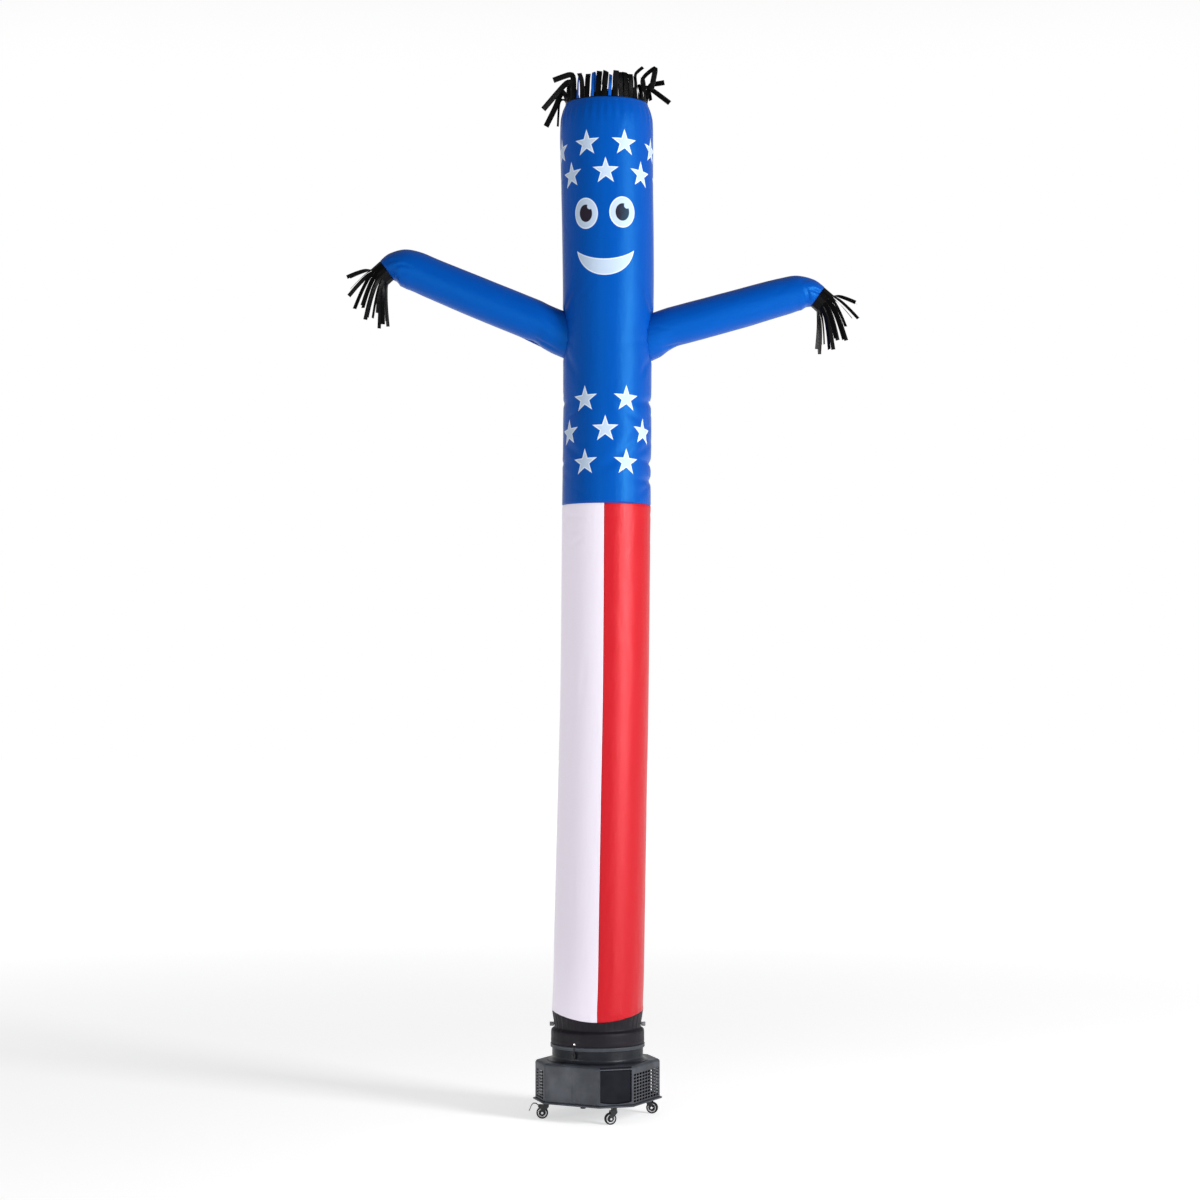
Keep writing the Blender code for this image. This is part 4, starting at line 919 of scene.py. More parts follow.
def sleeve_push(side, across, length, from_root):
    end = SLEEVES[side][-1].length
    push = crease_push(SLEEVE_CREASES[side], across, length, 0.66)
    push += ripples(across, from_root, 0.0015, 0.026, 0.027)
    push += ripples(across, length - end, 0.0012, 0.030, 0.020)
    fade = np.clip(from_root / 0.006, 0, 1)
    return push * fade


def make_sleeve(name, side, node):
    angle = np.linspace(-math.pi, math.pi, SLEEVE_COLUMNS + 1)
    start = sleeve_start(side, angle)
    end = SLEEVES[side][-1].length
    shares = spread([0.0, 0.01, 0.25, 0.8, 1.0], SLEEVE_STEP / end)
    length = start + (end - start) * shares[:, None]
    angles = np.broadcast_to(angle, length.shape)
    girth = smooth_column(SLEEVES[side], "across", length) / 2
    across = angles * girth
    push = sleeve_push(side, across, length, length - start)
    places = sleeve_points(side, angles, length, push)
    sleeve = cloth_sheet(name, places, across, length, blue_plain, [node], ring=True)
    return sleeve


left_sleeve = make_sleeve("Left_sleeve", -1, "arm_left")
right_sleeve = make_sleeve("Right_sleeve", 1, "arm_right")
print("sleeves:", len(left_sleeve.data.polygons) + len(right_sleeve.data.polygons), "quads")

# %% [markdown]
# Below the waist the tube is two half panels, white and red, joined down the front and the back. Where two
# panels meet, the cloth is folded over and sewn, which leaves a raised edge with a groove beside it and a row
# of ripples. The lower edge hangs lower at the front and the back than at the sides.

# %% White and red panels
PANEL_COLUMNS = 66
PANEL_STEP = 0.0105
SEAM_DRIFT = (-0.7, -3.1)
FOLD_WIDTH = 0.007
FOLD_RISE = 0.0010
HEM_FOLD = 0.018
PANEL_CREASES = {
    -1: scattered_creases(31, 30, (-0.75, 0.0), (0.60, 3.12), (70, 90), 0.20, 0.020, 0.0016),
    1: scattered_creases(32, 30, (0.0, 0.75), (0.60, 3.12), (70, 90), 0.20, 0.020, 0.0016),
}
PANEL_CREASES[-1] += scattered_creases(33, 10, (-0.7, 0.0), (2.95, 3.15), (5, 40), 0.08, 0.012, 0.0030)
PANEL_CREASES[1] += scattered_creases(34, 10, (0.0, 0.7), (2.95, 3.15), (5, 40), 0.08, 0.012, 0.0030)


def hem_height(angle):
    return HEM_HEIGHT - HEM_DIP * np.cos(angle) ** 2


def seam_angle(height):
    """The front seam's angle from the front centre; it drifts to the white side as it goes up."""
    share = (height - HEM_HEIGHT) / (WAIST_HEIGHT - HEM_HEIGHT)
    return np.radians(SEAM_DRIFT[0] + (SEAM_DRIFT[1] - SEAM_DRIFT[0]) * share)


def fold_edge(off, width, rise):
    """A folded edge: a flat raised band with a soft step, off metres from the very edge."""
    return rise * np.clip((width - off) / (0.25 * width), 0, 1)


def panel_push(side, angle, height, radius, foot):
    across = radius * angle
    from_front = np.abs(radius * (angle - seam_angle(height)))
    from_back = radius * np.abs(math.pi - np.abs(angle))
    push = crease_push(PANEL_CREASES[side], across, height)
    push += ripples(across, height - WAIST_HEIGHT, 0.0013, 0.030)
    front_ripples = ripples(height, from_front, 0.0009, 0.016, 0.030)
    push += front_ripples + ripples(height + 0.4, from_back, 0.0009, 0.016, 0.03)
    push += 0.0010 * np.sin(26 * angle + np.sin(5 * angle)) * np.exp(-(height - foot) / 0.05)
    push += fold_edge(height - foot, HEM_FOLD, FOLD_RISE * 0.8)
    if side < 0:
        push += fold_edge(from_front, FOLD_WIDTH, FOLD_RISE) + fold_edge(from_back, FOLD_WIDTH, FOLD_RISE)
    return push


def make_panel(name, side, finish, node):
    half_gap = SEAM_GAP / 2 / MEAN_RADIUS
    shares = spread([0.0, 0.03, 0.97, 1.0], 1 / PANEL_COLUMNS)
    edges = spread([0.0, 0.012], 0.004)
    shares = np.unique(np.concatenate([shares, edges, 1 - edges]))
    heights = spread([0.0, 0.004, 0.0135, 0.018, 0.06, 0.97, 0.999, 1.0], PANEL_STEP / 2.6)
    heights = np.unique(np.concatenate([heights, spread([0.0, 0.009], 0.0018)]))
    share, step = np.meshgrid(shares, heights)
    rough = HEM_HEIGHT + (WAIST_HEIGHT - HEM_HEIGHT) * step
    seam = seam_angle(rough)
    if side < 0:
        angle = -math.pi + half_gap + (seam + math.pi - 2 * half_gap) * share
    else:
        angle = seam + half_gap + (math.pi - seam - 2 * half_gap) * share
    foot = hem_height(angle)
    height = foot + (WAIST_HEIGHT - SEAM_GAP / 2 - foot) * step
    radius = tube_radius(angle, height)
    push = panel_push(side, angle, height, radius, foot)
    places = tube_points(angle, height, radius + push)
    panel = cloth_sheet(name, places, radius * angle, height, finish, [node])
    return panel


white_panel = make_panel("White_panel", -1, white_nylon, "panel_white")
red_panel = make_panel("Red_panel", 1, red_nylon, "panel_red")
print("panels:", len(white_panel.data.polygons) + len(red_panel.data.polygons), "quads")

# %% [markdown]
# The black skirt is gathered onto the outlet: a cord in its foot draws it over the collar, it sinks into the
# groove above the collar's edge, and it spreads again up to the hem. Gathers are upright folds that are
# deepest where the cloth has the most to lose, so their depth follows a small table of heights.

# %% Skirt
SKIRT_COLUMNS = 216
GatherRow = namedtuple("GatherRow", "height depth")
GATHERS = (
    GatherRow(0.387, 0.0008), GatherRow(0.402, 0.0005), GatherRow(0.425, 0.0003),
    GatherRow(0.450, 0.0006), GatherRow(0.469, 0.0014), GatherRow(0.495, 0.0030),
    GatherRow(0.520, 0.0026), GatherRow(0.557, 0.0010),
)
CHANNEL = (0.393, 0.409)
CHANNEL_RISE = 0.0009
PORT_RADIUS = 0.0062
KNOB_HEIGHT = 0.4807

foot_heights = spread([SKIRT_FOOT, 0.396, 0.443, 0.456, 0.470, 0.490, 0.505], 0.0042)
shares = np.linspace(0, 1, 9)[1:]
angle = np.linspace(-math.pi, math.pi, SKIRT_COLUMNS + 1)
height = np.concatenate([
    np.broadcast_to(foot_heights[:, None], (len(foot_heights), len(angle))),
    foot_heights[-1] + (hem_height(angle) - SEAM_GAP - foot_heights[-1]) * shares[:, None],
])
angle = np.broadcast_to(angle, height.shape)
radius = tube_radius(angle, height)
gather = smooth_column(GATHERS, "depth", height)
folds = np.sin(9 * (angle + math.pi / 2)) * 0.55 + np.sin(41 * angle + 1.6 * np.sin(4 * angle)) * 0.35
folds += np.sin(73 * angle + 2.1 * np.sin(3 * angle)) * 0.22
push = gather * folds
middle, half = (CHANNEL[0] + CHANNEL[1]) / 2, (CHANNEL[1] - CHANNEL[0]) / 2
push += CHANNEL_RISE * np.exp(-((height - middle) / half) ** 4)
places = tube_points(angle, height, radius + push)
off_knobs = np.hypot(places[..., 1], places[..., 2] - KNOB_HEIGHT)
clear = (off_knobs[:-1, :-1] + off_knobs[1:, 1:]) / 2 > PORT_RADIUS
skirt = cloth_sheet("Black_skirt", places, radius * angle, height, black_nylon, ["skirt_black"],
                    ring=True, keep=clear)
print("skirt:", len(skirt.data.polygons), "quads")

# %% [markdown]
# Hair and tassels are the same thing: a band with a strip of cloth on every short stretch of its edge. A strip
# follows a path, so Geometry Nodes sweep one thin section along a smooth curve for all of them. The base mesh
# holds only the paths: joined points, each with the way the strip faces there and how wide it is.

# %% Node recipes
class Recipe(Graph):
    """A geometry node tree with named inputs. It ends in Realize Instances and Set Material."""

    def __init__(self, name, **sizes):
        tree = bpy.data.node_groups.new(name, "GeometryNodeTree")
        super().__init__(tree)
        tree.interface.new_socket("Geometry", in_out="INPUT", socket_type="NodeSocketGeometry")
        tree.interface.new_socket("Geometry", in_out="OUTPUT", socket_type="NodeSocketGeometry")
        for label, value in sizes.items():
            kind = "NodeSocketInt" if isinstance(value, int) else "NodeSocketFloat"
            tree.interface.new_socket(label, in_out="INPUT", socket_type=kind).default_value = value
        self.start = tree.nodes.new("NodeGroupInput")
        self.end = tree.nodes.new("NodeGroupOutput")

    def size(self, label):
        return Wire(self, self.start.outputs[label])

    def named(self, label, kind="FLOAT"):
        return self.node("GeometryNodeInputNamedAttribute", {"data_type": kind}, {"Name": label})

    def finish(self, geometry, finish):
        solid = self.node("GeometryNodeRealizeInstances", inputs={"Geometry": geometry})
        coloured = self.node("GeometryNodeSetMaterial", inputs={"Geometry": solid, "Material": finish})
        self.join(coloured, self.end.inputs["Geometry"])
        return self

    def grow(self, name, base_mesh, **sizes):
        """Run the recipe on a base mesh and return the result as a plain mesh."""
        base = bpy.data.objects.new(name + "_base", base_mesh)
        bpy.context.collection.objects.link(base)
        modifier = base.modifiers.new(self.tree.name, "NODES")
        modifier.node_group = self.tree
        for item in self.tree.interface.items_tree:
            if item.in_out == "INPUT" and item.name in sizes:
                modifier[item.identifier] = sizes[item.name]
        evaluated = base.evaluated_get(bpy.context.evaluated_depsgraph_get())
        mesh = bpy.data.meshes.new_from_object(evaluated)
        bpy.data.objects.remove(base)
        mesh.name = name
        return mesh


def path_mesh(name, paths, **attributes):
    """Several paths as one mesh of joined points, with a value at each point."""
    mesh = bpy.data.meshes.new(name)
    points = [tuple(point) for path in paths for point in path]
    edges, first = [], 0
    for path in paths:
        edges += [(first + i, first + i + 1) for i in range(len(path) - 1)]
        first += len(path)
    mesh.from_pydata(points, edges, [])
    for label, values in attributes.items():
        flat = [tuple(v) if hasattr(v, "__len__") else v for path in values for v in path]
        values = np.array(flat, dtype=float)
        kind = "FLOAT_VECTOR" if values.ndim == 2 else "FLOAT"
        field = "vector" if values.ndim == 2 else "value"
        mesh.attributes.new(label, kind, "POINT").data.foreach_set(field, values.ravel())
    return mesh


def sweep_strips(name, finish, width):
    """A recipe that sweeps a thin oval section along each path, faced and sized by the path's own values."""
    recipe = Recipe(name, Width=width, Thickness=0.0012, Step=0.009)
    curve = recipe.node("GeometryNodeMeshToCurve", inputs={"Mesh": recipe.size("Geometry")})
    smooth = recipe.node("GeometryNodeCurveSplineType", {"spline_type": "CATMULL_ROM"}, {"Curve": curve})
    even = recipe.node("GeometryNodeResampleCurve", {"mode": "LENGTH"},
                       {"Curve": smooth, "Length": recipe.size("Step")})
    faced = recipe.node("GeometryNodeSetCurveNormal", {"mode": "FREE"},
                        {"Curve": even, "Normal": recipe.named("facing", "FLOAT_VECTOR")})
    length = recipe.node("GeometryNodeSplineParameter", output="Length")
    marked = recipe.node("GeometryNodeStoreNamedAttribute", {"data_type": "FLOAT", "domain": "POINT"},
                         {"Geometry": faced, "Name": "along", "Value": length})
    circle = recipe.node("GeometryNodeCurvePrimitiveCircle", {"mode": "RADIUS"},
                         {"Resolution": 12, "Radius": 0.5})
    flat = recipe.vector(recipe.size("Thickness"), recipe.size("Width"), 1.0)
    section = recipe.node("GeometryNodeTransform", inputs={"Geometry": circle, "Scale": flat})
    spot = recipe.node("ShaderNodeSeparateXYZ", inputs={0: recipe.node("GeometryNodeInputPosition")})
    beside = Wire(recipe, spot.socket.node.outputs["Y"])
    section = recipe.node("GeometryNodeStoreNamedAttribute", {"data_type": "FLOAT", "domain": "POINT"},
                          {"Geometry": section, "Name": "beside", "Value": beside})
    strip = recipe.node("GeometryNodeCurveToMesh", inputs={
        "Curve": marked, "Profile Curve": section, "Scale": recipe.named("breadth"), "Fill Caps": True})
    place = recipe.vector(recipe.named("beside"), recipe.named("along"))
    mapped = recipe.node("GeometryNodeStoreNamedAttribute", {"data_type": "FLOAT2", "domain": "CORNER"},
                         {"Geometry": strip, "Name": FABRIC_MAP, "Value": place})
    return recipe.finish(recipe.node("GeometryNodeSetShadeSmooth", inputs={"Geometry": mapped}), finish)


print("recipes ready")

# %% [markdown]
# The hair stands round the open rim on a band sewn inside it. Four ways of standing take turns round the rim,
# and eight strips at the two sides are placed one by one where they stick out. A few strips are blue offcuts.

# %% Hair paths
HAIR_STRIPS = 44
HAIR_FILL = 0.95
HAIR_BAND = (5.252, 5.279)
HAIR_BAND_RADIUS = 0.2131
HAIR_THICK = 0.0012
HAIR_SWAY = 0.007
HAIR_FORMS = {
    "upright": ((-0.002, 0.045), (-0.004, 0.090), (-0.010, 0.122)),
    "fold_in": ((-0.004, 0.060), (-0.012, 0.112), (-0.026, 0.122), (-0.038, 0.100), (-0.042, 0.030)),
    "fold_out": ((0.000, 0.060), (0.002, 0.114), (0.014, 0.125), (0.027, 0.108), (0.036, 0.045)),
    "lean_out": ((0.003, 0.050), (0.012, 0.095), (0.034, 0.128)),
}
HAIR_ORDER = ("fold_in", "upright", "fold_out", "fold_in", "lean_out", "upright")
Stray = namedtuple("Stray", "index heading share path")
STRAYS = (
    Stray(26, 180, 1.0, ((0.000, 0.070), (0.005, 0.118), (0.020, 0.126), (0.055, 0.116), (0.106, 0.097))),
    Stray(24, 180, 1.0, ((-0.012, 0.050), (-0.019, 0.088), (-0.004, 0.100), (0.028, 0.076), (0.130, -0.042))),
    Stray(22, 180, 1.0, ((0.004, 0.042), (0.016, 0.060), (0.032, 0.040), (0.056, -0.020), (0.104, -0.118))),
    Stray(21, 180, 0.4, ((0.006, 0.024), (0.022, 0.028), (0.035, 0.008), (0.040, -0.050), (0.043, -0.112))),
    Stray(39, 0, 1.0, ((-0.012, 0.060), (-0.022, 0.120), (-0.010, 0.142), (0.018, 0.165))),
    Stray(42, 0, 1.0, ((-0.012, 0.060), (-0.020, 0.122), (0.034, 0.174), (0.044, 0.164), (0.024, 0.066))),
    Stray(0, 0, 1.0, ((0.004, 0.060), (0.014, 0.098), (0.030, 0.108), (0.060, 0.113), (0.090, 0.118))),
    Stray(43, 0, 1.0, ((0.002, 0.040), (0.010, 0.074), (0.028, 0.070), (0.072, 0.038), (0.117, 0.004))),
)
STRAY_TWIST = math.radians(75)
BLUE_STRIPS = (27, 30, 33)
BLUE_SHARE = 0.55
HAIR_WIDTH = math.tau * HAIR_BAND_RADIUS / HAIR_STRIPS * HAIR_FILL


def strip_facings(path, across, twist):
    """The way a strip faces at each point, turned with its path and twisted along it, most near its root."""
    facings, side = [], across.normalized()
    for i, point in enumerate(path):
        along = (path[min(i + 1, len(path) - 1)] - path[max(i - 1, 0)]).normalized()
        side = (side - along * side.dot(along)).normalized()
        share = 1 - (1 - max(0, i - 1) / (len(path) - 2)) ** 3
        turned_side = Matrix.Rotation(twist * share, 3, along) @ side
        facings.append(turned_side.cross(along))
    return facings


def path_length(path):
    return sum((b - a).length for a, b in zip(path, path[1:]))


def hair_paths():
    centre = Vector((TUBE[-1].centre_x, 0, 0))
    strays = {stray.index: stray for stray in STRAYS}
    near_strays = {(index + step) % HAIR_STRIPS for index in strays for step in (-1, 1)}
    paths, facings, shares = [], [], []
    for i in range(HAIR_STRIPS):
        twist = 0.35 * math.sin(2.7 * i)
        turn = math.tau * (i + 0.5) / HAIR_STRIPS
        radial = Vector((math.cos(turn), math.sin(turn), 0))
        across = Vector((-math.sin(turn), math.cos(turn), 0))
        root = centre + radial * (HAIR_BAND_RADIUS - HAIR_THICK / 2) + Vector((0, 0, HAIR_BAND[1]))
        if i in strays:
            heading = math.radians(strays[i].heading)
            outward = Vector((math.cos(heading), math.sin(heading), 0))
            points, share, sway, stretch = strays[i].path, strays[i].share, 0.0, 1.0
            twist = STRAY_TWIST
        else:
            beside = i in near_strays
            points, share, outward = HAIR_FORMS["upright" if beside else HAIR_ORDER[i % 6]], 1.0, radial
            wave = math.sin(3 * turn + 0.6) + 0.9 * math.sin(7.7 * i)
            sway = 0.0 if beside else HAIR_SWAY * wave
            stretch = 1.0 + 0.07 * (math.sin(5.1 * i) - abs(math.cos(turn)) ** 3)
        path = [root - Vector((0, 0, 0.012)), root]
        for out, rise in points:
            path.append(root + outward * out + Vector((0, 0, rise * stretch)) + across * sway * rise / 0.12)
        paths.append(path)
        facings.append(strip_facings(path, across, twist))
        shares.append([BLUE_SHARE if i in BLUE_STRIPS else share] * len(path))
    return paths, facings, shares


all_hair = hair_paths()
print("hair paths:", len(all_hair[0]))

# %% [markdown]
# The hair is two pieces, because a piece is of one cloth: the black strips, and the few blue ones. A short ring
# of the same thin cloth is the band that carries them.

# %% Hair and its band
def strips_piece(name, strips, recipe, finish, nodes):
    paths, facings, shares = strips
    base = path_mesh(name + "_paths", paths, facing=facings, breadth=shares)
    return make_piece(name, recipe.grow(name, base), finish, stands_for=nodes)


def picked(strips, indices):
    return tuple([values[i] for i in indices] for values in strips)


def strip_area(strips, width):
    return sum(path_length(path) for path in strips[0]) * width


black_hair_paths = picked(all_hair, [i for i in range(HAIR_STRIPS) if i not in BLUE_STRIPS])
blue_hair_paths = picked(all_hair, BLUE_STRIPS)
hair_recipe = sweep_strips("Hair strip", strip_black, HAIR_WIDTH)
hair = strips_piece("Hair_strips", black_hair_paths, hair_recipe, strip_black, ["hair"])
blue_hair = strips_piece("Blue_hair_strips", blue_hair_paths, hair_recipe, strip_blue, ["hair"])
angle, height = np.meshgrid(np.linspace(-math.pi, math.pi, 145), spread(list(HAIR_BAND), 0.005))
band_places = tube_points(angle, height, np.full(angle.shape, HAIR_BAND_RADIUS))
hair_band = cloth_sheet("Hair_band", band_places, angle * HAIR_BAND_RADIUS, height, strip_black,
                        ["hair"], ring=True)
strip_area(black_hair_paths, HAIR_WIDTH)
strip_area(blue_hair_paths, HAIR_WIDTH) * BLUE_SHARE
print("hair:", HAIR_STRIPS, "strips,", round(strip_area(all_hair, HAIR_WIDTH), 3), "square metres")

# %% [markdown]
# Each hand ends in a black cuff whose edge is cut into sixteen strips. Most fall straight down from the hand,
# the upper ones are short and stand out, and all splay a little and droop towards their tips. The cuff is a
# short ring of cloth with its own soft folds. Both tassels use the same recipe as the hair.

# %% Tassels
CUFF_LENGTH = 0.052
CUFF_BEND = 12
CUFF_WALL = 0.0015
TASSEL_STRIPS = 16
TASSEL_FILL = 0.90
TASSEL_LENGTHS = (0.195, 0.225, 0.185, 0.235, 0.205, 0.240, 0.190, 0.215)
TASSEL_FALL = -68
TASSEL_LIFT = 56
TASSEL_TUCK = 20
TASSEL_SHORT = 0.42
TASSEL_SPLAY = 0.30
TASSEL_DROOP = 7
TASSEL_BENDS = ((0.25, -1.0), (0.35, 0.4), (0.40, 1.0))


def hand_frame(side, turn):
    turn = math.radians(turn)
    along = Vector((side * math.cos(turn), 0, math.sin(turn)))
    up = Vector((-side * math.sin(turn), 0, math.cos(turn)))
    return along, up


def tassel_paths(side, hand, end, end_up, across):
    paths, facings, shares = [], [], []
    for i in range(TASSEL_STRIPS):
        a = math.tau * (i + 0.5) / TASSEL_STRIPS
        root = end + end_up * (hand.across / 2 * math.cos(a)) + across * (hand.deep / 2 * math.sin(a))
        sideways = -end_up * math.sin(a) + across * math.cos(a)
        upper = max(0.0, math.cos(a))
        length = TASSEL_LENGTHS[i % len(TASSEL_LENGTHS)] * (1 - TASSEL_SHORT * upper ** 4)
        rest = TASSEL_FALL + TASSEL_LIFT * upper ** 4 + TASSEL_TUCK * min(0.0, math.cos(a))
        path = [root]
        for step, share in TASSEL_BENDS:
            tilt = math.radians(rest - TASSEL_DROOP * share)
            heading = Vector((side * math.cos(tilt), 0, math.sin(tilt))) + across * TASSEL_SPLAY * math.sin(a)
            path.append(path[-1] + heading.normalized() * length * step)
        path.insert(0, root - (path[1] - root).normalized() * 0.004)
        paths.append(path)
        twist = 0.5 * math.sin(2.3 * i + side) + 0.8 * abs(math.cos(a)) ** 3
        facings.append(strip_facings(path, sideways, twist))
        shares.append([1.0] * len(path))
    return paths, facings, shares


def make_tassel(name, side, node, recipe):
    hand = (LEFT_ARM if side < 0 else RIGHT_ARM)[-1]
    along, up = hand_frame(side, hand.turn)
    end_along, end_up = hand_frame(side, hand.turn - CUFF_BEND)
    across = along.cross(up)
    centre = Vector((side * hand.reach, 0, hand.height)) + along * SEAM_GAP
    end = centre + (along + end_along).normalized() * CUFF_LENGTH
    paths = tassel_paths(side, hand, end, end_up, across)
    strips = strips_piece(name + "_strips", paths, recipe, strip_black, [node])
    angle, share = np.meshgrid(np.linspace(-math.pi, math.pi, 97), np.linspace(0, 1, 13))
    folds = 0.0012 * np.sin(14 * angle + 1.4 * np.sin(3 * angle)) * (0.4 + 0.6 * share)
    high = (hand.across / 2 + folds - CUFF_WALL / 2) * np.cos(angle)
    wide = (hand.deep / 2 + folds - CUFF_WALL / 2) * np.sin(angle)
    middle = np.array(centre) + share[..., None] * np.array(end - centre)
    rise = (1 - share[..., None]) * np.array(up) + share[..., None] * np.array(end_up)
    places = middle + rise * high[..., None] + np.array(across) * wide[..., None]
    cuff = cloth_sheet(name + "_cuff", places, angle * hand.across / 2, share * CUFF_LENGTH, strip_black,
                       [node], ring=True)
    girth = math.pi * hand.across
    strip_area(paths, girth / TASSEL_STRIPS * TASSEL_FILL)
    return strips


TASSEL_WIDTH = math.pi * LEFT_ARM[-1].across / TASSEL_STRIPS * TASSEL_FILL
tassel_recipe = sweep_strips("Tassel strip", strip_black, TASSEL_WIDTH)
tassels = [make_tassel("Left_tassel", -1, "tassel_left", tassel_recipe),
           make_tassel("Right_tassel", 1, "tassel_right", tassel_recipe)]
print("tassels:", sum(len(t.data.polygons) for t in tassels), "faces")

# %% [markdown]
# Stitches are what repeats most: a thread comes up for four millimetres in every five and a half along each
# seam. Geometry Nodes lay one short rounded stitch at even steps along a path and turn it to follow the path.

# %% Stitches
STITCH_LIFT = 0.0003


def stitch_recipe(name, finish):
    recipe = Recipe(name, Pitch=0.0055, Length=0.0040, Thread=0.0005)
    curve = recipe.node("GeometryNodeMeshToCurve", inputs={"Mesh": recipe.size("Geometry")})
    even = recipe.node("GeometryNodeResampleCurve", {"mode": "LENGTH"},
                       {"Curve": curve, "Length": recipe.size("Pitch")})
    thread = recipe.node("GeometryNodeMeshUVSphere", inputs={"Segments": 6, "Rings": 4, "Radius": 1.0})
    longer = recipe.vector(recipe.size("Thread"), recipe.size("Thread"), recipe.size("Length") * 0.5)
    stitch = recipe.node("GeometryNodeTransform", inputs={"Geometry": thread, "Scale": longer})
    follow = recipe.node("FunctionNodeAlignRotationToVector", {"axis": "Z"},
                         {"Vector": recipe.node("GeometryNodeInputTangent")})
    laid = recipe.node("GeometryNodeInstanceOnPoints",
                       inputs={"Points": even, "Instance": stitch, "Rotation": follow})
    solid = recipe.node("GeometryNodeRealizeInstances", inputs={"Geometry": laid})
    return recipe.finish(recipe.node("GeometryNodeSetShadeSmooth", inputs={"Geometry": solid}), finish)


print("stitch recipe ready")

# %% [markdown]
# Each seam is a path that is read from the same formulas as the cloth, so the thread lies on it.

# %% Seam lines
def tube_seam(heights, angles, push):
    """Places on the tube's cloth, a little proud of it."""
    radius = tube_radius(angles, heights)
    return tube_points(angles, heights, radius + push + STITCH_LIFT)


def around(height, count=260):
    """A level line round the blue body."""
    angles = np.linspace(-math.pi, math.pi, count)
    heights = np.full(count, height)
    return tube_seam(heights, angles, body_push(angles, heights))


def on_panel(side, angles, heights):
    push = panel_push(side, angles, heights, tube_radius(angles, heights), hem_height(angles))
    return tube_seam(heights, angles, push)


def seam_heights(count):
    return np.linspace(HEM_HEIGHT - HEM_DIP + 0.004, WAIST_HEIGHT - 0.004, count)


def upright(side, off, count=300):
    """A line that runs up beside the front seam, off metres to its side."""
    heights = seam_heights(count)
    return on_panel(side, seam_angle(heights) + off / MEAN_RADIUS, heights)


def back_line(off, count=300):
    return on_panel(-1, np.full(count, -math.pi + off / MEAN_RADIUS), seam_heights(count))


def sleeve_line(side, from_root=None, from_end=None, count=150):
    angle = np.linspace(-math.pi, math.pi, count)
    start = sleeve_start(side, angle)
    end = SLEEVES[side][-1].length
    length = start + from_root if from_root is not None else np.full(count, end - from_end)
    push = sleeve_push(side, angle * smooth_column(SLEEVES[side], "across", length) / 2, length, length - start)
    return sleeve_points(side, angle, length, push + STITCH_LIFT)


def hem_line(side, from_foot, count=150):
    seam = float(seam_angle(HEM_HEIGHT))
    angles = np.linspace(-math.pi + 0.01, seam - 0.01, count) if side < 0 \
        else np.linspace(seam + 0.01, math.pi - 0.01, count)
    return on_panel(side, angles, hem_height(angles) + from_foot)


print("seams lie", round(STITCH_LIFT * 1000, 1), "mm proud of the cloth")

# %% [markdown]
# Thread has the colour of its cloth. Seams that share a thread are sewn as one piece, apart from the hems.

# %% Sewing
def thread_finish(name, colour):
    return grain_finish(name, colour, 0.6, grain=900.0, relief=0.0002, wear=0.12)


blue_thread = thread_finish("Blue thread", (0.002, 0.050, 0.330))
white_thread = thread_finish("White thread", (0.800, 0.760, 0.840))
red_thread = thread_finish("Red thread", (0.560, 0.006, 0.014))

SEAM_SETS = (
    ("Blue_stitches", blue_thread, "blue_cloth", [
        around(WAIST_HEIGHT + 0.006), around(WAIST_HEIGHT + 0.012), around(RIM_HEIGHT - 0.016),
        sleeve_line(-1, from_root=0.007), sleeve_line(1, from_root=0.007),
        sleeve_line(-1, from_end=0.008), sleeve_line(1, from_end=0.008)]),
    ("White_stitches", white_thread, "white_cloth", [upright(-1, -0.0045), back_line(0.0045)]),
    ("Red_stitches", red_thread, "red_cloth", [upright(1, 0.0040)]),
)


def sew(name, thread, seams):
    mesh = stitch_recipe(name, thread).grow(name, path_mesh(name + "_paths", [list(seam) for seam in seams]))
    make_piece(name, mesh, thread)
    print(name, len(mesh.polygons), "faces on", len(seams), "seams")


for name, thread, slot, seams in SEAM_SETS:
    sew(name, thread, seams)


for name, thread, slot, side in (("White_hem_stitches", white_thread, "white_cloth", -1),
                                 ("Red_hem_stitches", red_thread, "red_cloth", 1)):
    sew(name, thread, [hem_line(side, up) for up in (0.0035, 0.0145)])

# %% [markdown]
# The blower's case is a moulded eight-sided box. Its outline is a polygon whose corners are arcs, and a solid
# is lofted through a stack of such outlines. What belongs to one side is drawn flat, with x across and y up,
# and then carried to its side.

# %% Blower outlines
BLOWER_TURN = math.radians(-27.5)
HOUSING_HALF = 0.284
HOUSING_EDGE = 0.160
HOUSING_FOOT = 0.1023
HOUSING_TOP = 0.298
TOP_ROUND = 0.015
CORNER_ROUND = 0.014
HOUSING_WALL = 0.004
RECESS_DEPTH = 0.008
CORNER_REACH = (HOUSING_HALF + HOUSING_EDGE) / math.sqrt(2)
EIGHTH = math.pi / 4
blower_turn = Matrix.Rotation(BLOWER_TURN, 4, "Z")


def rounded(corners, radius, steps=5):
    """A closed outline whose corners are arcs. corners are (x, y) pairs, anticlockwise."""
    points = []
    for i, corner in enumerate(corners):
        corner = Vector(corner)
        before = (Vector(corners[i - 1]) - corner).normalized()
        after = (Vector(corners[(i + 1) % len(corners)]) - corner).normalized()
        half = before.angle(after) / 2
        centre = corner + (before + after).normalized() * radius / math.sin(half)
        first = corner + before * radius / math.tan(half) - centre
        sweep = math.pi - 2 * half
        for k in range(steps + 1):
            points.append(centre + Matrix.Rotation(sweep * k / steps, 2) @ first)
    return points


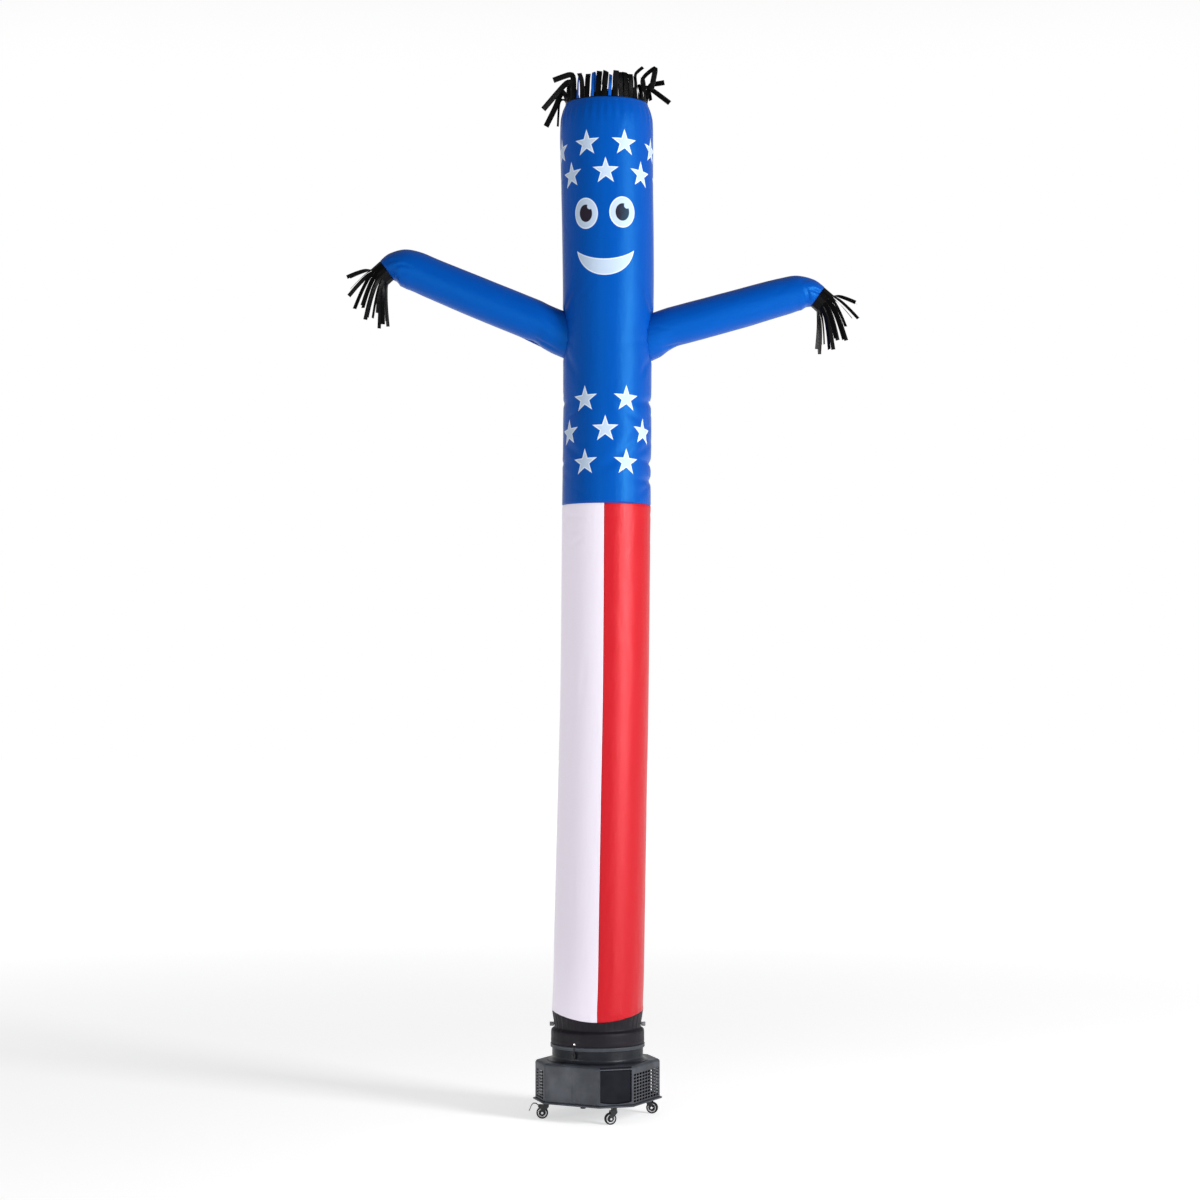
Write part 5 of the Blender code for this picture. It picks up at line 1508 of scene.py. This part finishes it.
def eight_sided(half, edge, inset, radius):
    """The blower's plan, drawn in by inset on every side."""
    h, e = half - inset, edge - inset * (math.sqrt(2) - 1)
    corners = [(h, -e), (h, e), (e, h), (-e, h), (-h, e), (-h, -e), (-e, -h), (e, -h)]
    return rounded(corners, radius)


def lofted(rings):
    """A closed solid through outlines, each a list of (x, y) and a height."""
    bm = bmesh.new()
    rows = [[bm.verts.new((*point, height)) for point in outline] for outline, height in rings]
    count = len(rows[0])
    for low, high in zip(rows, rows[1:]):
        for i in range(count):
            j = (i + 1) % count
            bm.faces.new((low[i], low[j], high[j], high[i]))
    bm.faces.new(rows[0][::-1])
    bm.faces.new(rows[-1])
    return bm


def face_matrix(quarter, reach):
    """Takes x across a side of the blower, y up it and z outwards to its place on the blower."""
    side = Matrix(((1, 0, 0, 0), (0, 0, 1, reach), (0, 1, 0, 0), (0, 0, 0, 1)))
    return blower_turn @ Matrix.Rotation(quarter, 4, "Z") @ side


print("corner panels stand", round(CORNER_REACH, 3), "m from the middle")

# %% [markdown]
# Solids are cut with exact booleans, and the result is taken as a plain mesh at once. Moulded plastic has no
# sharp edges, so a narrow bevel gives every edge the small round that catches the light.

# %% Cutting and softening
def cut(target, bm, name):
    """Subtract a solid from a plain object, for good."""
    tool = bpy.data.objects.new(name, mesh_from(bm, name))
    bpy.context.collection.objects.link(tool)
    modifier = target.modifiers.new(name, "BOOLEAN")
    modifier.operation = "DIFFERENCE"
    modifier.solver = "EXACT"
    modifier.object = tool
    return tool


def settled(target, tools=()):
    """The evaluated mesh of an object, which is removed together with its tools."""
    mesh = bpy.data.meshes.new_from_object(target.evaluated_get(bpy.context.evaluated_depsgraph_get()))
    for done in (target, *tools):
        bpy.data.objects.remove(done)
    return mesh


def soft_edges(piece, width, segments=2, angle=35):
    bevel = piece.modifiers.new("Soft edges", "BEVEL")
    bevel.width = width
    bevel.segments = segments
    bevel.limit_method = "ANGLE"
    bevel.angle_limit = math.radians(angle)
    bevel.harden_normals = True
    return piece


print("cutting helpers ready")

# %% [markdown]
# The case of the blower is one moulding: a rounded eight-sided shell with a round mouth, four windows for the
# grilles, two sunk corner panels and a fine joint line down two of its sides. A loft gives the whole outside,
# and cutting leaves every hole with a wall of the right thickness.

# %% Case of the blower
WINDOW = (0.1063, 0.2587)
GrilleSide = namedtuple("GrilleSide", "quarter reach half columns")
GRILLES = {
    "grille_left": GrilleSide(2 * EIGHTH, HOUSING_HALF, 0.150, 9),
    "grille_right": GrilleSide(-2 * EIGHTH, HOUSING_HALF, 0.150, 9),
    "grille_front_left": GrilleSide(3 * EIGHTH, CORNER_REACH, 0.076, 4),
    "grille_back_right": GrilleSide(-EIGHTH, CORNER_REACH, 0.076, 4),
}
RECESS_SIDES = (-3 * EIGHTH, EIGHTH)
RECESS_HALF = 0.085
RECESS_SPAN = (0.108, 0.2815)
RECESS_DRAFT = 0.006
RECESS_SAG = 0.010
JOINT_HALF = 0.0008
JOINT_DEPTH = 0.0016


def recess_outline(inset):
    """A panel with rounded top corners and a lower edge that bows down in the middle."""
    low, high = RECESS_SPAN[0] + RECESS_SAG + inset, RECESS_SPAN[1] - inset
    half = RECESS_HALF - inset
    bow = [(x * half, low - RECESS_SAG * (1 - x * x)) for x in np.linspace(-1, 1, 15)]
    top = [point for point in rounded([(-half, low), (half, low), (half, high), (-half, high)], 0.003) if
           point[1] > (low + high) / 2]
    return bow + [tuple(point) for point in top]


rings = [(eight_sided(HOUSING_HALF, HOUSING_EDGE, 0.0015, CORNER_ROUND), HOUSING_FOOT),
         (eight_sided(HOUSING_HALF, HOUSING_EDGE, 0.0, CORNER_ROUND), HOUSING_FOOT + 0.0015)]
for turn in np.linspace(0, math.pi / 2, 7):
    inset = TOP_ROUND * (1 - math.cos(turn))
    rings.append((eight_sided(HOUSING_HALF, HOUSING_EDGE, inset, CORNER_ROUND),
                  HOUSING_TOP - TOP_ROUND + TOP_ROUND * math.sin(turn)))
case = bpy.data.objects.new("Case", mesh_from(lofted(rings), "Case"))
bpy.context.collection.objects.link(case)
inner_outline = eight_sided(HOUSING_HALF, HOUSING_EDGE, HOUSING_WALL + RECESS_DEPTH * 0.72, 0.006)
inner_top = eight_sided(HOUSING_HALF, HOUSING_EDGE, HOUSING_WALL + TOP_ROUND, 0.006)
hollow = [(inner_outline, HOUSING_FOOT - 0.01), (inner_outline, 0.281), (inner_top, HOUSING_TOP - HOUSING_WALL)]
tools = [cut(case, lofted(hollow), "Hollow")]
mouth = turned([(0.0, 0.27), (0.2325, 0.27), (0.2325, 0.31), (0.0, 0.31)], 96)
tools.append(cut(case, mouth, "Mouth"))
for name, side in GRILLES.items():
    window = rounded([(-side.half, WINDOW[0]), (side.half, WINDOW[0]), (side.half, WINDOW[1]),
                      (-side.half, WINDOW[1])], 0.004, 3)
    opening = lofted([(window, -0.030), (window, 0.010)])
    bmesh.ops.transform(opening, matrix=face_matrix(side.quarter, side.reach), verts=opening.verts)
    tools.append(cut(case, opening, name + "_window"))
for quarter in RECESS_SIDES:
    recess = lofted([(recess_outline(RECESS_DRAFT), -RECESS_DEPTH), (recess_outline(0.0), 0.0),
                     (recess_outline(0.0), 0.010)])
    bmesh.ops.transform(recess, matrix=face_matrix(quarter, CORNER_REACH), verts=recess.verts)
    tools.append(cut(case, recess, "Recess"))
for quarter in (0.0, math.pi):
    line = [(-JOINT_HALF, 0.09), (JOINT_HALF, 0.09), (JOINT_HALF, HOUSING_TOP),
            (-JOINT_HALF, HOUSING_TOP)]
    joint = lofted([(line, -JOINT_DEPTH), (line, 0.010)])
    bmesh.ops.transform(joint, matrix=face_matrix(quarter, HOUSING_HALF), verts=joint.verts)
    tools.append(cut(case, joint, "Joint"))
case.matrix_world = blower_turn
for tool in tools[:2]:
    tool.matrix_world = blower_turn
bpy.context.view_layer.update()
case_mesh = settled(case, tools)
case_mesh.transform(blower_turn)
case_mesh.set_sharp_from_angle(angle=math.radians(30))
case_mesh.name = "Blower_case"
housing = make_piece("Blower_case", case_mesh, housing_grey, stands_for=["housing"])
print("case:", len(case_mesh.polygons), "faces,", len(tools), "cuts")

# %% [markdown]
# Little light reaches the inside of the case or the sunk panels, so their plastic is painted darker as shade.
# Each face is measured from the eight outer sides, and its depth says which plastic it gets.

# %% Plastic by depth
case_mesh.materials.append(recess_painted_shade)
case_mesh.materials.append(inner_painted_shade)


def depth_inside(point, quarter, reach):
    """How far a point is behind a side of the blower, and how far beside that side's middle."""
    outward = blower_turn @ Matrix.Rotation(quarter, 4, "Z") @ Vector((0, 1, 0))
    return reach - point.dot(outward), abs(point.xy.cross(outward.xy))


SIDE_REACHES = [(k * EIGHTH, CORNER_REACH if k % 2 else HOUSING_HALF) for k in range(8)]
for face in case_mesh.polygons:
    depths = [depth_inside(face.center, quarter, reach)[0] for quarter, reach in SIDE_REACHES]
    # Faces deep inside the case get black as painted shade.
    if min(depths) > HOUSING_WALL + 0.001 and face.center.z < HOUSING_TOP - HOUSING_WALL + 0.0002:
        face.material_index = 2
    # Faces of the sunk panels get the darker plastic as painted shade.
    for quarter in RECESS_SIDES:
        deep, aside = depth_inside(face.center, quarter, CORNER_REACH)
        if 0.0005 < deep < RECESS_DEPTH + 0.001 and aside < RECESS_HALF:
            face.material_index = 1
soft_edges(housing, 0.0008)
print("case:", sum(face.material_index > 0 for face in case_mesh.polygons), "faces in darker plastic")

# %% [markdown]
# A grille is one slotted cell repeated across and up. The cell is a small tile with a stadium-shaped hole and a
# softened front edge. Geometry Nodes stand a copy on every point of a grid and merge the tiles, and then the
# plain border is drawn out from the edge of the merged tiles.

# %% Grilles
SLOT_SIZE = (0.0258, 0.0112)
SLOT_ROWS = 9
SLOT_PITCH = (0.0322, 0.0167)
CELL_POINTS = 24
EDGE_SOFT = 0.0006
EDGE_SHARE = 0.3
SLOT_SQUARENESS = 2.2
TINY = 1e-9


def cell_mesh():
    """One tile with a slot: x across, y up, z outwards, its front face at z = 0."""
    half_x, half_y = SLOT_PITCH[0] / 2, SLOT_PITCH[1] / 2
    radius = SLOT_SIZE[1] / 2
    straight = SLOT_SIZE[0] / 2 - radius
    slot, rim = [], []
    corner_turn = math.atan2(half_y, half_x)
    turns = sorted([*np.linspace(0, math.tau, CELL_POINTS, endpoint=False),
                    *[s * corner_turn % math.tau for s in (1, -1)],
                    *[(math.pi + s * corner_turn) % math.tau for s in (1, -1)]])
    for turn in turns:
        c, s = math.cos(turn), math.sin(turn)
        reach = min(half_x / max(abs(c), TINY), half_y / max(abs(s), TINY))
        rim.append(Vector((reach * c, reach * s)))
        slot.append(Vector((straight * max(-1, min(1, SLOT_SQUARENESS * c)) + radius * c, radius * s)))
    bm = bmesh.new()

    def ring(points, grow, z):
        return [bm.verts.new((*(point + grow * point.normalized()), z)) for point in points]

    rings = [ring(rim, 0, 0), ring(slot, EDGE_SOFT, 0),
             ring(slot, EDGE_SOFT * EDGE_SHARE, -EDGE_SOFT * EDGE_SHARE),
             ring(slot, 0, -EDGE_SOFT), ring(slot, 0, -HOUSING_WALL), ring(rim, 0, -HOUSING_WALL)]
    for outer, inner in zip(rings, rings[1:]):
        for i in range(len(turns)):
            j = (i + 1) % len(turns)
            bm.faces.new((outer[i], outer[j], inner[j], inner[i]))
    return bm


def lattice_recipe(cell, finish):
    recipe = Recipe("Slotted lattice", Across=9, Up=SLOT_ROWS, PitchX=SLOT_PITCH[0],
                    PitchY=SLOT_PITCH[1])
    across, up = recipe.size("Across"), recipe.size("Up")
    grid = recipe.node("GeometryNodeMeshGrid", inputs={
        "Size X": (across - 1) * recipe.size("PitchX"), "Size Y": (up - 1) * recipe.size("PitchY"),
        "Vertices X": across, "Vertices Y": up})
    tile = recipe.node("GeometryNodeObjectInfo", inputs={"Object": cell}, output="Geometry")
    tiles = recipe.node("GeometryNodeInstanceOnPoints", inputs={"Points": grid, "Instance": tile})
    solid = recipe.node("GeometryNodeRealizeInstances", inputs={"Geometry": tiles})
    merged = recipe.node("GeometryNodeMergeByDistance", inputs={"Geometry": solid, "Distance": 0.00005})
    return recipe.finish(merged, finish)


cell_object = bpy.data.objects.new("Cell", mesh_from(cell_mesh(), "Cell"))
bpy.context.collection.objects.link(cell_object)
lattice = lattice_recipe(cell_object, grille_grey)


def make_grille(node, side):
    mesh = lattice.grow("Slots_" + node, bpy.data.meshes.new("Grid_seed"), Across=side.columns)
    bm = bmesh.new()
    bm.from_mesh(mesh)
    half_high = (WINDOW[1] - WINDOW[0]) / 2 - SEAM_GAP
    stretch = Vector(((side.half - SEAM_GAP) / (side.columns * SLOT_PITCH[0] / 2),
                      half_high / (SLOT_ROWS * SLOT_PITCH[1] / 2), 1))
    rims = [edge for edge in bm.edges if edge.is_boundary]
    drawn = bmesh.ops.extrude_edge_only(bm, edges=rims)["geom"]
    outer = [v for v in drawn if isinstance(v, bmesh.types.BMVert)]
    for vert in outer:
        vert.co = vert.co * stretch
    outer_rims = [edge for edge in bm.edges if edge.is_boundary]
    bmesh.ops.bridge_loops(bm, edges=outer_rims)
    bmesh.ops.translate(bm, vec=(0, (WINDOW[0] + WINDOW[1]) / 2, 0), verts=bm.verts)
    bmesh.ops.transform(bm, matrix=face_matrix(side.quarter, side.reach), verts=bm.verts)
    open_edges = sum(edge.is_boundary for edge in bm.edges)
    name = "Panel_" + node
    piece = make_piece(name, mesh_from(bm, name, 40), grille_grey, stands_for=[node])
    print(piece.name, len(piece.data.polygons), "faces,", open_edges, "open edges")


for node, side in GRILLES.items():
    make_grille(node, side)
bpy.data.objects.remove(cell_object)

# %% [markdown]
# The outlet is turned: a flared foot, a neck with fine ribs, a flange ring and the collar that the skirt is
# drawn over. The ribs are a loop in its section, and every outer corner is a small arc. The two knobs at its
# sides are turned as well, and hold the skirt.

# %% Outlet
RIB_COUNT = 9
RIB_PITCH = 0.0046
RIB_RISE = 0.0008
RIB_FOOT = 0.3225
RIB_SHAPE = ((0.0, 0.0), (0.15, 0.75), (0.32, 1.0), (0.50, 1.0), (0.67, 0.75), (0.82, 0.0))
NECK_RADIUS = 0.2366
FLARE_RADIUS = 0.262
FLARE_FOOT = 0.3010
FLARE_RISE = 0.0190
OUTLET_STEPS = 144


def outlet_section():
    section = [(0.2325, 0.2983), (FLARE_RADIUS - 0.001, 0.2983), (FLARE_RADIUS, 0.2993),
               (FLARE_RADIUS, 0.3008)]
    for turn in np.linspace(0, math.pi / 2, 9)[1:]:
        section.append((FLARE_RADIUS - (FLARE_RADIUS - NECK_RADIUS) * math.sin(turn),
                        FLARE_FOOT + FLARE_RISE * (1 - math.cos(turn))))
    for k in range(RIB_COUNT):
        foot = RIB_FOOT + k * RIB_PITCH
        section += [(NECK_RADIUS + RIB_RISE * rise, foot + RIB_PITCH * share) for share, rise in RIB_SHAPE]
    section += [
        (NECK_RADIUS, 0.3660), (0.2385, 0.3680), (0.2385, 0.4480),
        *round_corner((0.2350, 0.4515), 0.0035, 0, 90), (0.2200, 0.4570), (0.2180, 0.4590),
        (0.2180, 0.4955), *round_corner((0.2150, 0.4955), 0.0028, 0, 180, 6), (0.2120, 0.4560),
        (0.2130, 0.4540), (0.2325, 0.4500),
    ]
    return section


ring_section = [
    (0.2360, 0.3655), *round_corner((0.2438, 0.3677), 0.0022, -90, 0), (0.2460, 0.3720),
    (0.2454, 0.3728), (0.2454, 0.3742), (0.2460, 0.3750), *round_corner((0.2438, 0.3823), 0.0022, 0, 90),
    (0.2392, 0.3848), (0.2370, 0.3848),
]
# The outlet gets its grey plastic darkened as painted shade.
outlet = make_piece("Blower_outlet", mesh_from(turned(outlet_section(), OUTLET_STEPS), "Blower_outlet", 28),
                    outlet_grey_painted_shade, stands_for=["outlet"])
make_piece("Outlet_ring", mesh_from(turned(ring_section, OUTLET_STEPS), "Outlet_ring", 28), housing_grey,
           stands_for=["outlet"])
KNOB_SECTION = [
    (0.0, 0.2183), (0.0040, 0.2183), (0.0040, 0.2276), (0.0092, 0.2280),
    *round_corner((0.0098, 0.2294), 0.0012, -90, 0, 3), (0.0110, 0.2330), (0.0104, 0.2336),
    (0.0104, 0.2346), (0.0110, 0.2352), (0.0110, 0.2470), *round_corner((0.0084, 0.2474), 0.0026, 0, 90),
    (0.0060, 0.2500), (0.0054, 0.2492), (0.0, 0.2492),
]
for name, node, turn in (("Right_knob", "knob_right", 0.0), ("Left_knob", "knob_left", math.pi)):
    place = Matrix.Translation((0, 0, KNOB_HEIGHT)) @ Matrix.Rotation(turn, 4, "Z") \
        @ Matrix.Rotation(math.pi / 2, 4, "Y")
    make_piece(name, mesh_from(turned(KNOB_SECTION, 48, place), name), knob_grey,
               stands_for=[node])
print("outlet:", len(outlet.data.polygons), "faces with", RIB_COUNT, "ribs, and its ring")

# %% [markdown]
# The base plate is a lofted slab whose edge thins to a lip all round, and a small black foot stands under its
# front edge. The plate's top is inside the case, so it gets the black plastic painted as shade.

# %% Base plate and foot
PLATE_HALF = 0.296
PLATE_EDGE = 0.165
PLATE_CORNER = 0.018
PLATE_RINGS = (
    (0.0120, 0.0900), (0.0060, 0.0903), (0.0022, 0.0920), (0.0003, 0.0945), (0.0, 0.0962),
    (0.0003, 0.0978), (0.0014, 0.0990), (0.0040, 0.1000), (0.0090, 0.1014), (0.0115, 0.1020),
)
plate = lofted([(eight_sided(PLATE_HALF, PLATE_EDGE, inset, PLATE_CORNER), height)
                for inset, height in PLATE_RINGS])
bmesh.ops.transform(plate, matrix=blower_turn, verts=plate.verts)
base = make_piece("Blower_base", mesh_from(plate, "Blower_base", 50), housing_grey,
                  stands_for=["base_plate"])
# The plate's top, inside the case, gets black as painted shade.
base.data.materials.append(inner_painted_shade)
max(base.data.polygons, key=lambda face: face.center.z).material_index = 1
FOOT_PLACE = blower_turn @ Vector((0.056, -0.268, 0.0))
foot_section = [(0.0, 0.0810), (0.0118, 0.0810), *round_corner((0.0122, 0.0828), 0.0018, -90, 0, 3),
                (0.0140, 0.0880), (0.0136, 0.0897), (0.0, 0.0897)]
make_piece("Blower_foot", mesh_from(turned(foot_section, 36, Matrix.Translation(FOOT_PLACE)), "Blower_foot"),
           black_plastic, stands_for=["foot"])
print("base plate and foot made")

# %% [markdown]
# A caster has a tyre, a bright rim ring, a dark web and a bolt, all turned, in a pressed steel fork. The fork
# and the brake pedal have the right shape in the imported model, so a copy of their mesh is merged, cleaned of
# flat edges and given soft edges. The tyre, ring and web ride the wheel's body. The bolt and the fork ride the
# swivel's.

# %% Casters
KINGPIN_REACH = 0.280
TRAIL = 0.020
AXLE_HEIGHT = 0.030618
Caster = namedtuple("Caster", "name corner heading")
CASTERS = (Caster("left", (-1, -1), 180), Caster("front", (1, -1), 198), Caster("right", (1, 1), -18),
           Caster("back", (-1, 1), 55))
TYRE_RADIUS = 0.0306
TYRE_SECTION = [
    (0.0236, -0.0096), (0.0252, -0.0108), (0.0270, -0.0110),
    *round_corner((0.0262, -0.0066), 0.0044, -80, -4), (TYRE_RADIUS, -0.0055), (TYRE_RADIUS, 0.0055),
    *round_corner((0.0262, 0.0066), 0.0044, 4, 80), (0.0270, 0.0110), (0.0252, 0.0108), (0.0236, 0.0096),
]
RIM_SECTION = [
    (0.0176, -0.0060), (0.0188, -0.0074), *round_corner((0.0212, -0.0084), 0.0014, -160, -10),
    (0.0229, -0.0080), (0.0229, 0.0080), *round_corner((0.0212, 0.0084), 0.0014, 10, 160),
    (0.0188, 0.0074), (0.0176, 0.0060),
]
WEB_SECTION = [
    (0.0046, -0.0095), (0.0096, -0.0095), *round_corner((0.0096, -0.0085), 0.0010, -90, 0, 3),
    (0.0112, -0.0060), (0.0130, -0.0050), (0.0180, -0.0050), (0.0180, 0.0050), (0.0130, 0.0050),
    (0.0112, 0.0060), *round_corner((0.0096, 0.0085), 0.0010, 0, 90, 3), (0.0096, 0.0095),
    (0.0046, 0.0095),
]
SHAFT_SECTION = [(0.0, -0.0150), (0.0041, -0.0150), (0.0041, 0.0150), (0.0, 0.0150)]
HEAD_SECTION = [(0.0, 0.0148), (0.0066, 0.0148), (0.0070, 0.0151), (0.0070, 0.0166), (0.0058, 0.0178),
                (0.0, 0.0178)]
WheelPart = namedtuple("WheelPart", "name section steps finish slot node")
WHEEL_PARTS = (
    WheelPart("Tyre", TYRE_SECTION, 72, tyre_rubber, "tyre_rubber", "tyre"),
    WheelPart("Hub_ring", RIM_SECTION, 64, hub_silver, "light_plastic", "hub"),
    WheelPart("Hub_web", WEB_SECTION, 48, hub_dark, "light_plastic", "hub"),
)
METAL_EDGE = 0.0006


def copied(node, name, finish, body, width):
    """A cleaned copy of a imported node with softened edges, in the node's place."""
    bm = bmesh.new()
    bm.from_mesh(bpy.data.objects[node].data)
    bmesh.ops.remove_doubles(bm, verts=bm.verts, dist=1e-5)
    bmesh.ops.dissolve_limit(bm, angle_limit=math.radians(1), verts=bm.verts, edges=bm.edges)
    piece = make_piece(name, mesh_from(bm, name, 30), finish, body, [node])
    return soft_edges(piece, width, angle=28)


def joined(name, bms):
    whole = bmesh.new()
    for bm in bms:
        mesh = mesh_from(bm, "part")
        whole.from_mesh(mesh)
        bpy.data.meshes.remove(mesh)
    return mesh_from(whole, name)


for caster in CASTERS:
    pin = blower_turn @ (Vector((*caster.corner, 0)).normalized() * KINGPIN_REACH)
    swing = Matrix.Rotation(math.radians(caster.heading), 4, "Z")
    wheel = Matrix.Translation(pin) @ swing @ Matrix.Translation((TRAIL, 0, AXLE_HEIGHT)) \
        @ Matrix.Rotation(math.pi / 2, 4, "X")
    swivel_body = f"swivel_{caster.name}"
    for part in WHEEL_PARTS:
        make_piece(f"{part.name}_{caster.name}", mesh_from(turned(part.section, part.steps, wheel), part.name),
                   part.finish, f"wheel_{caster.name}", [f"{part.node}_{caster.name}"])
    other_end = wheel @ Matrix.Rotation(math.pi, 4, "X")
    bolt = [turned(SHAFT_SECTION, 24, wheel), turned(HEAD_SECTION, 6, wheel),
            turned(HEAD_SECTION, 6, other_end)]
    make_piece(f"Axle_bolt_{caster.name}", joined("Axle_bolt", bolt), zinc, swivel_body,
               [f"axle_{caster.name}"])
    copied(f"fork_{caster.name}", f"Fork_{caster.name}", fork_metal, swivel_body, METAL_EDGE)
copied("brake_pedal", "Brake_pedal", fork_metal, "pedal", METAL_EDGE)
print("casters:", [caster.name for caster in CASTERS])
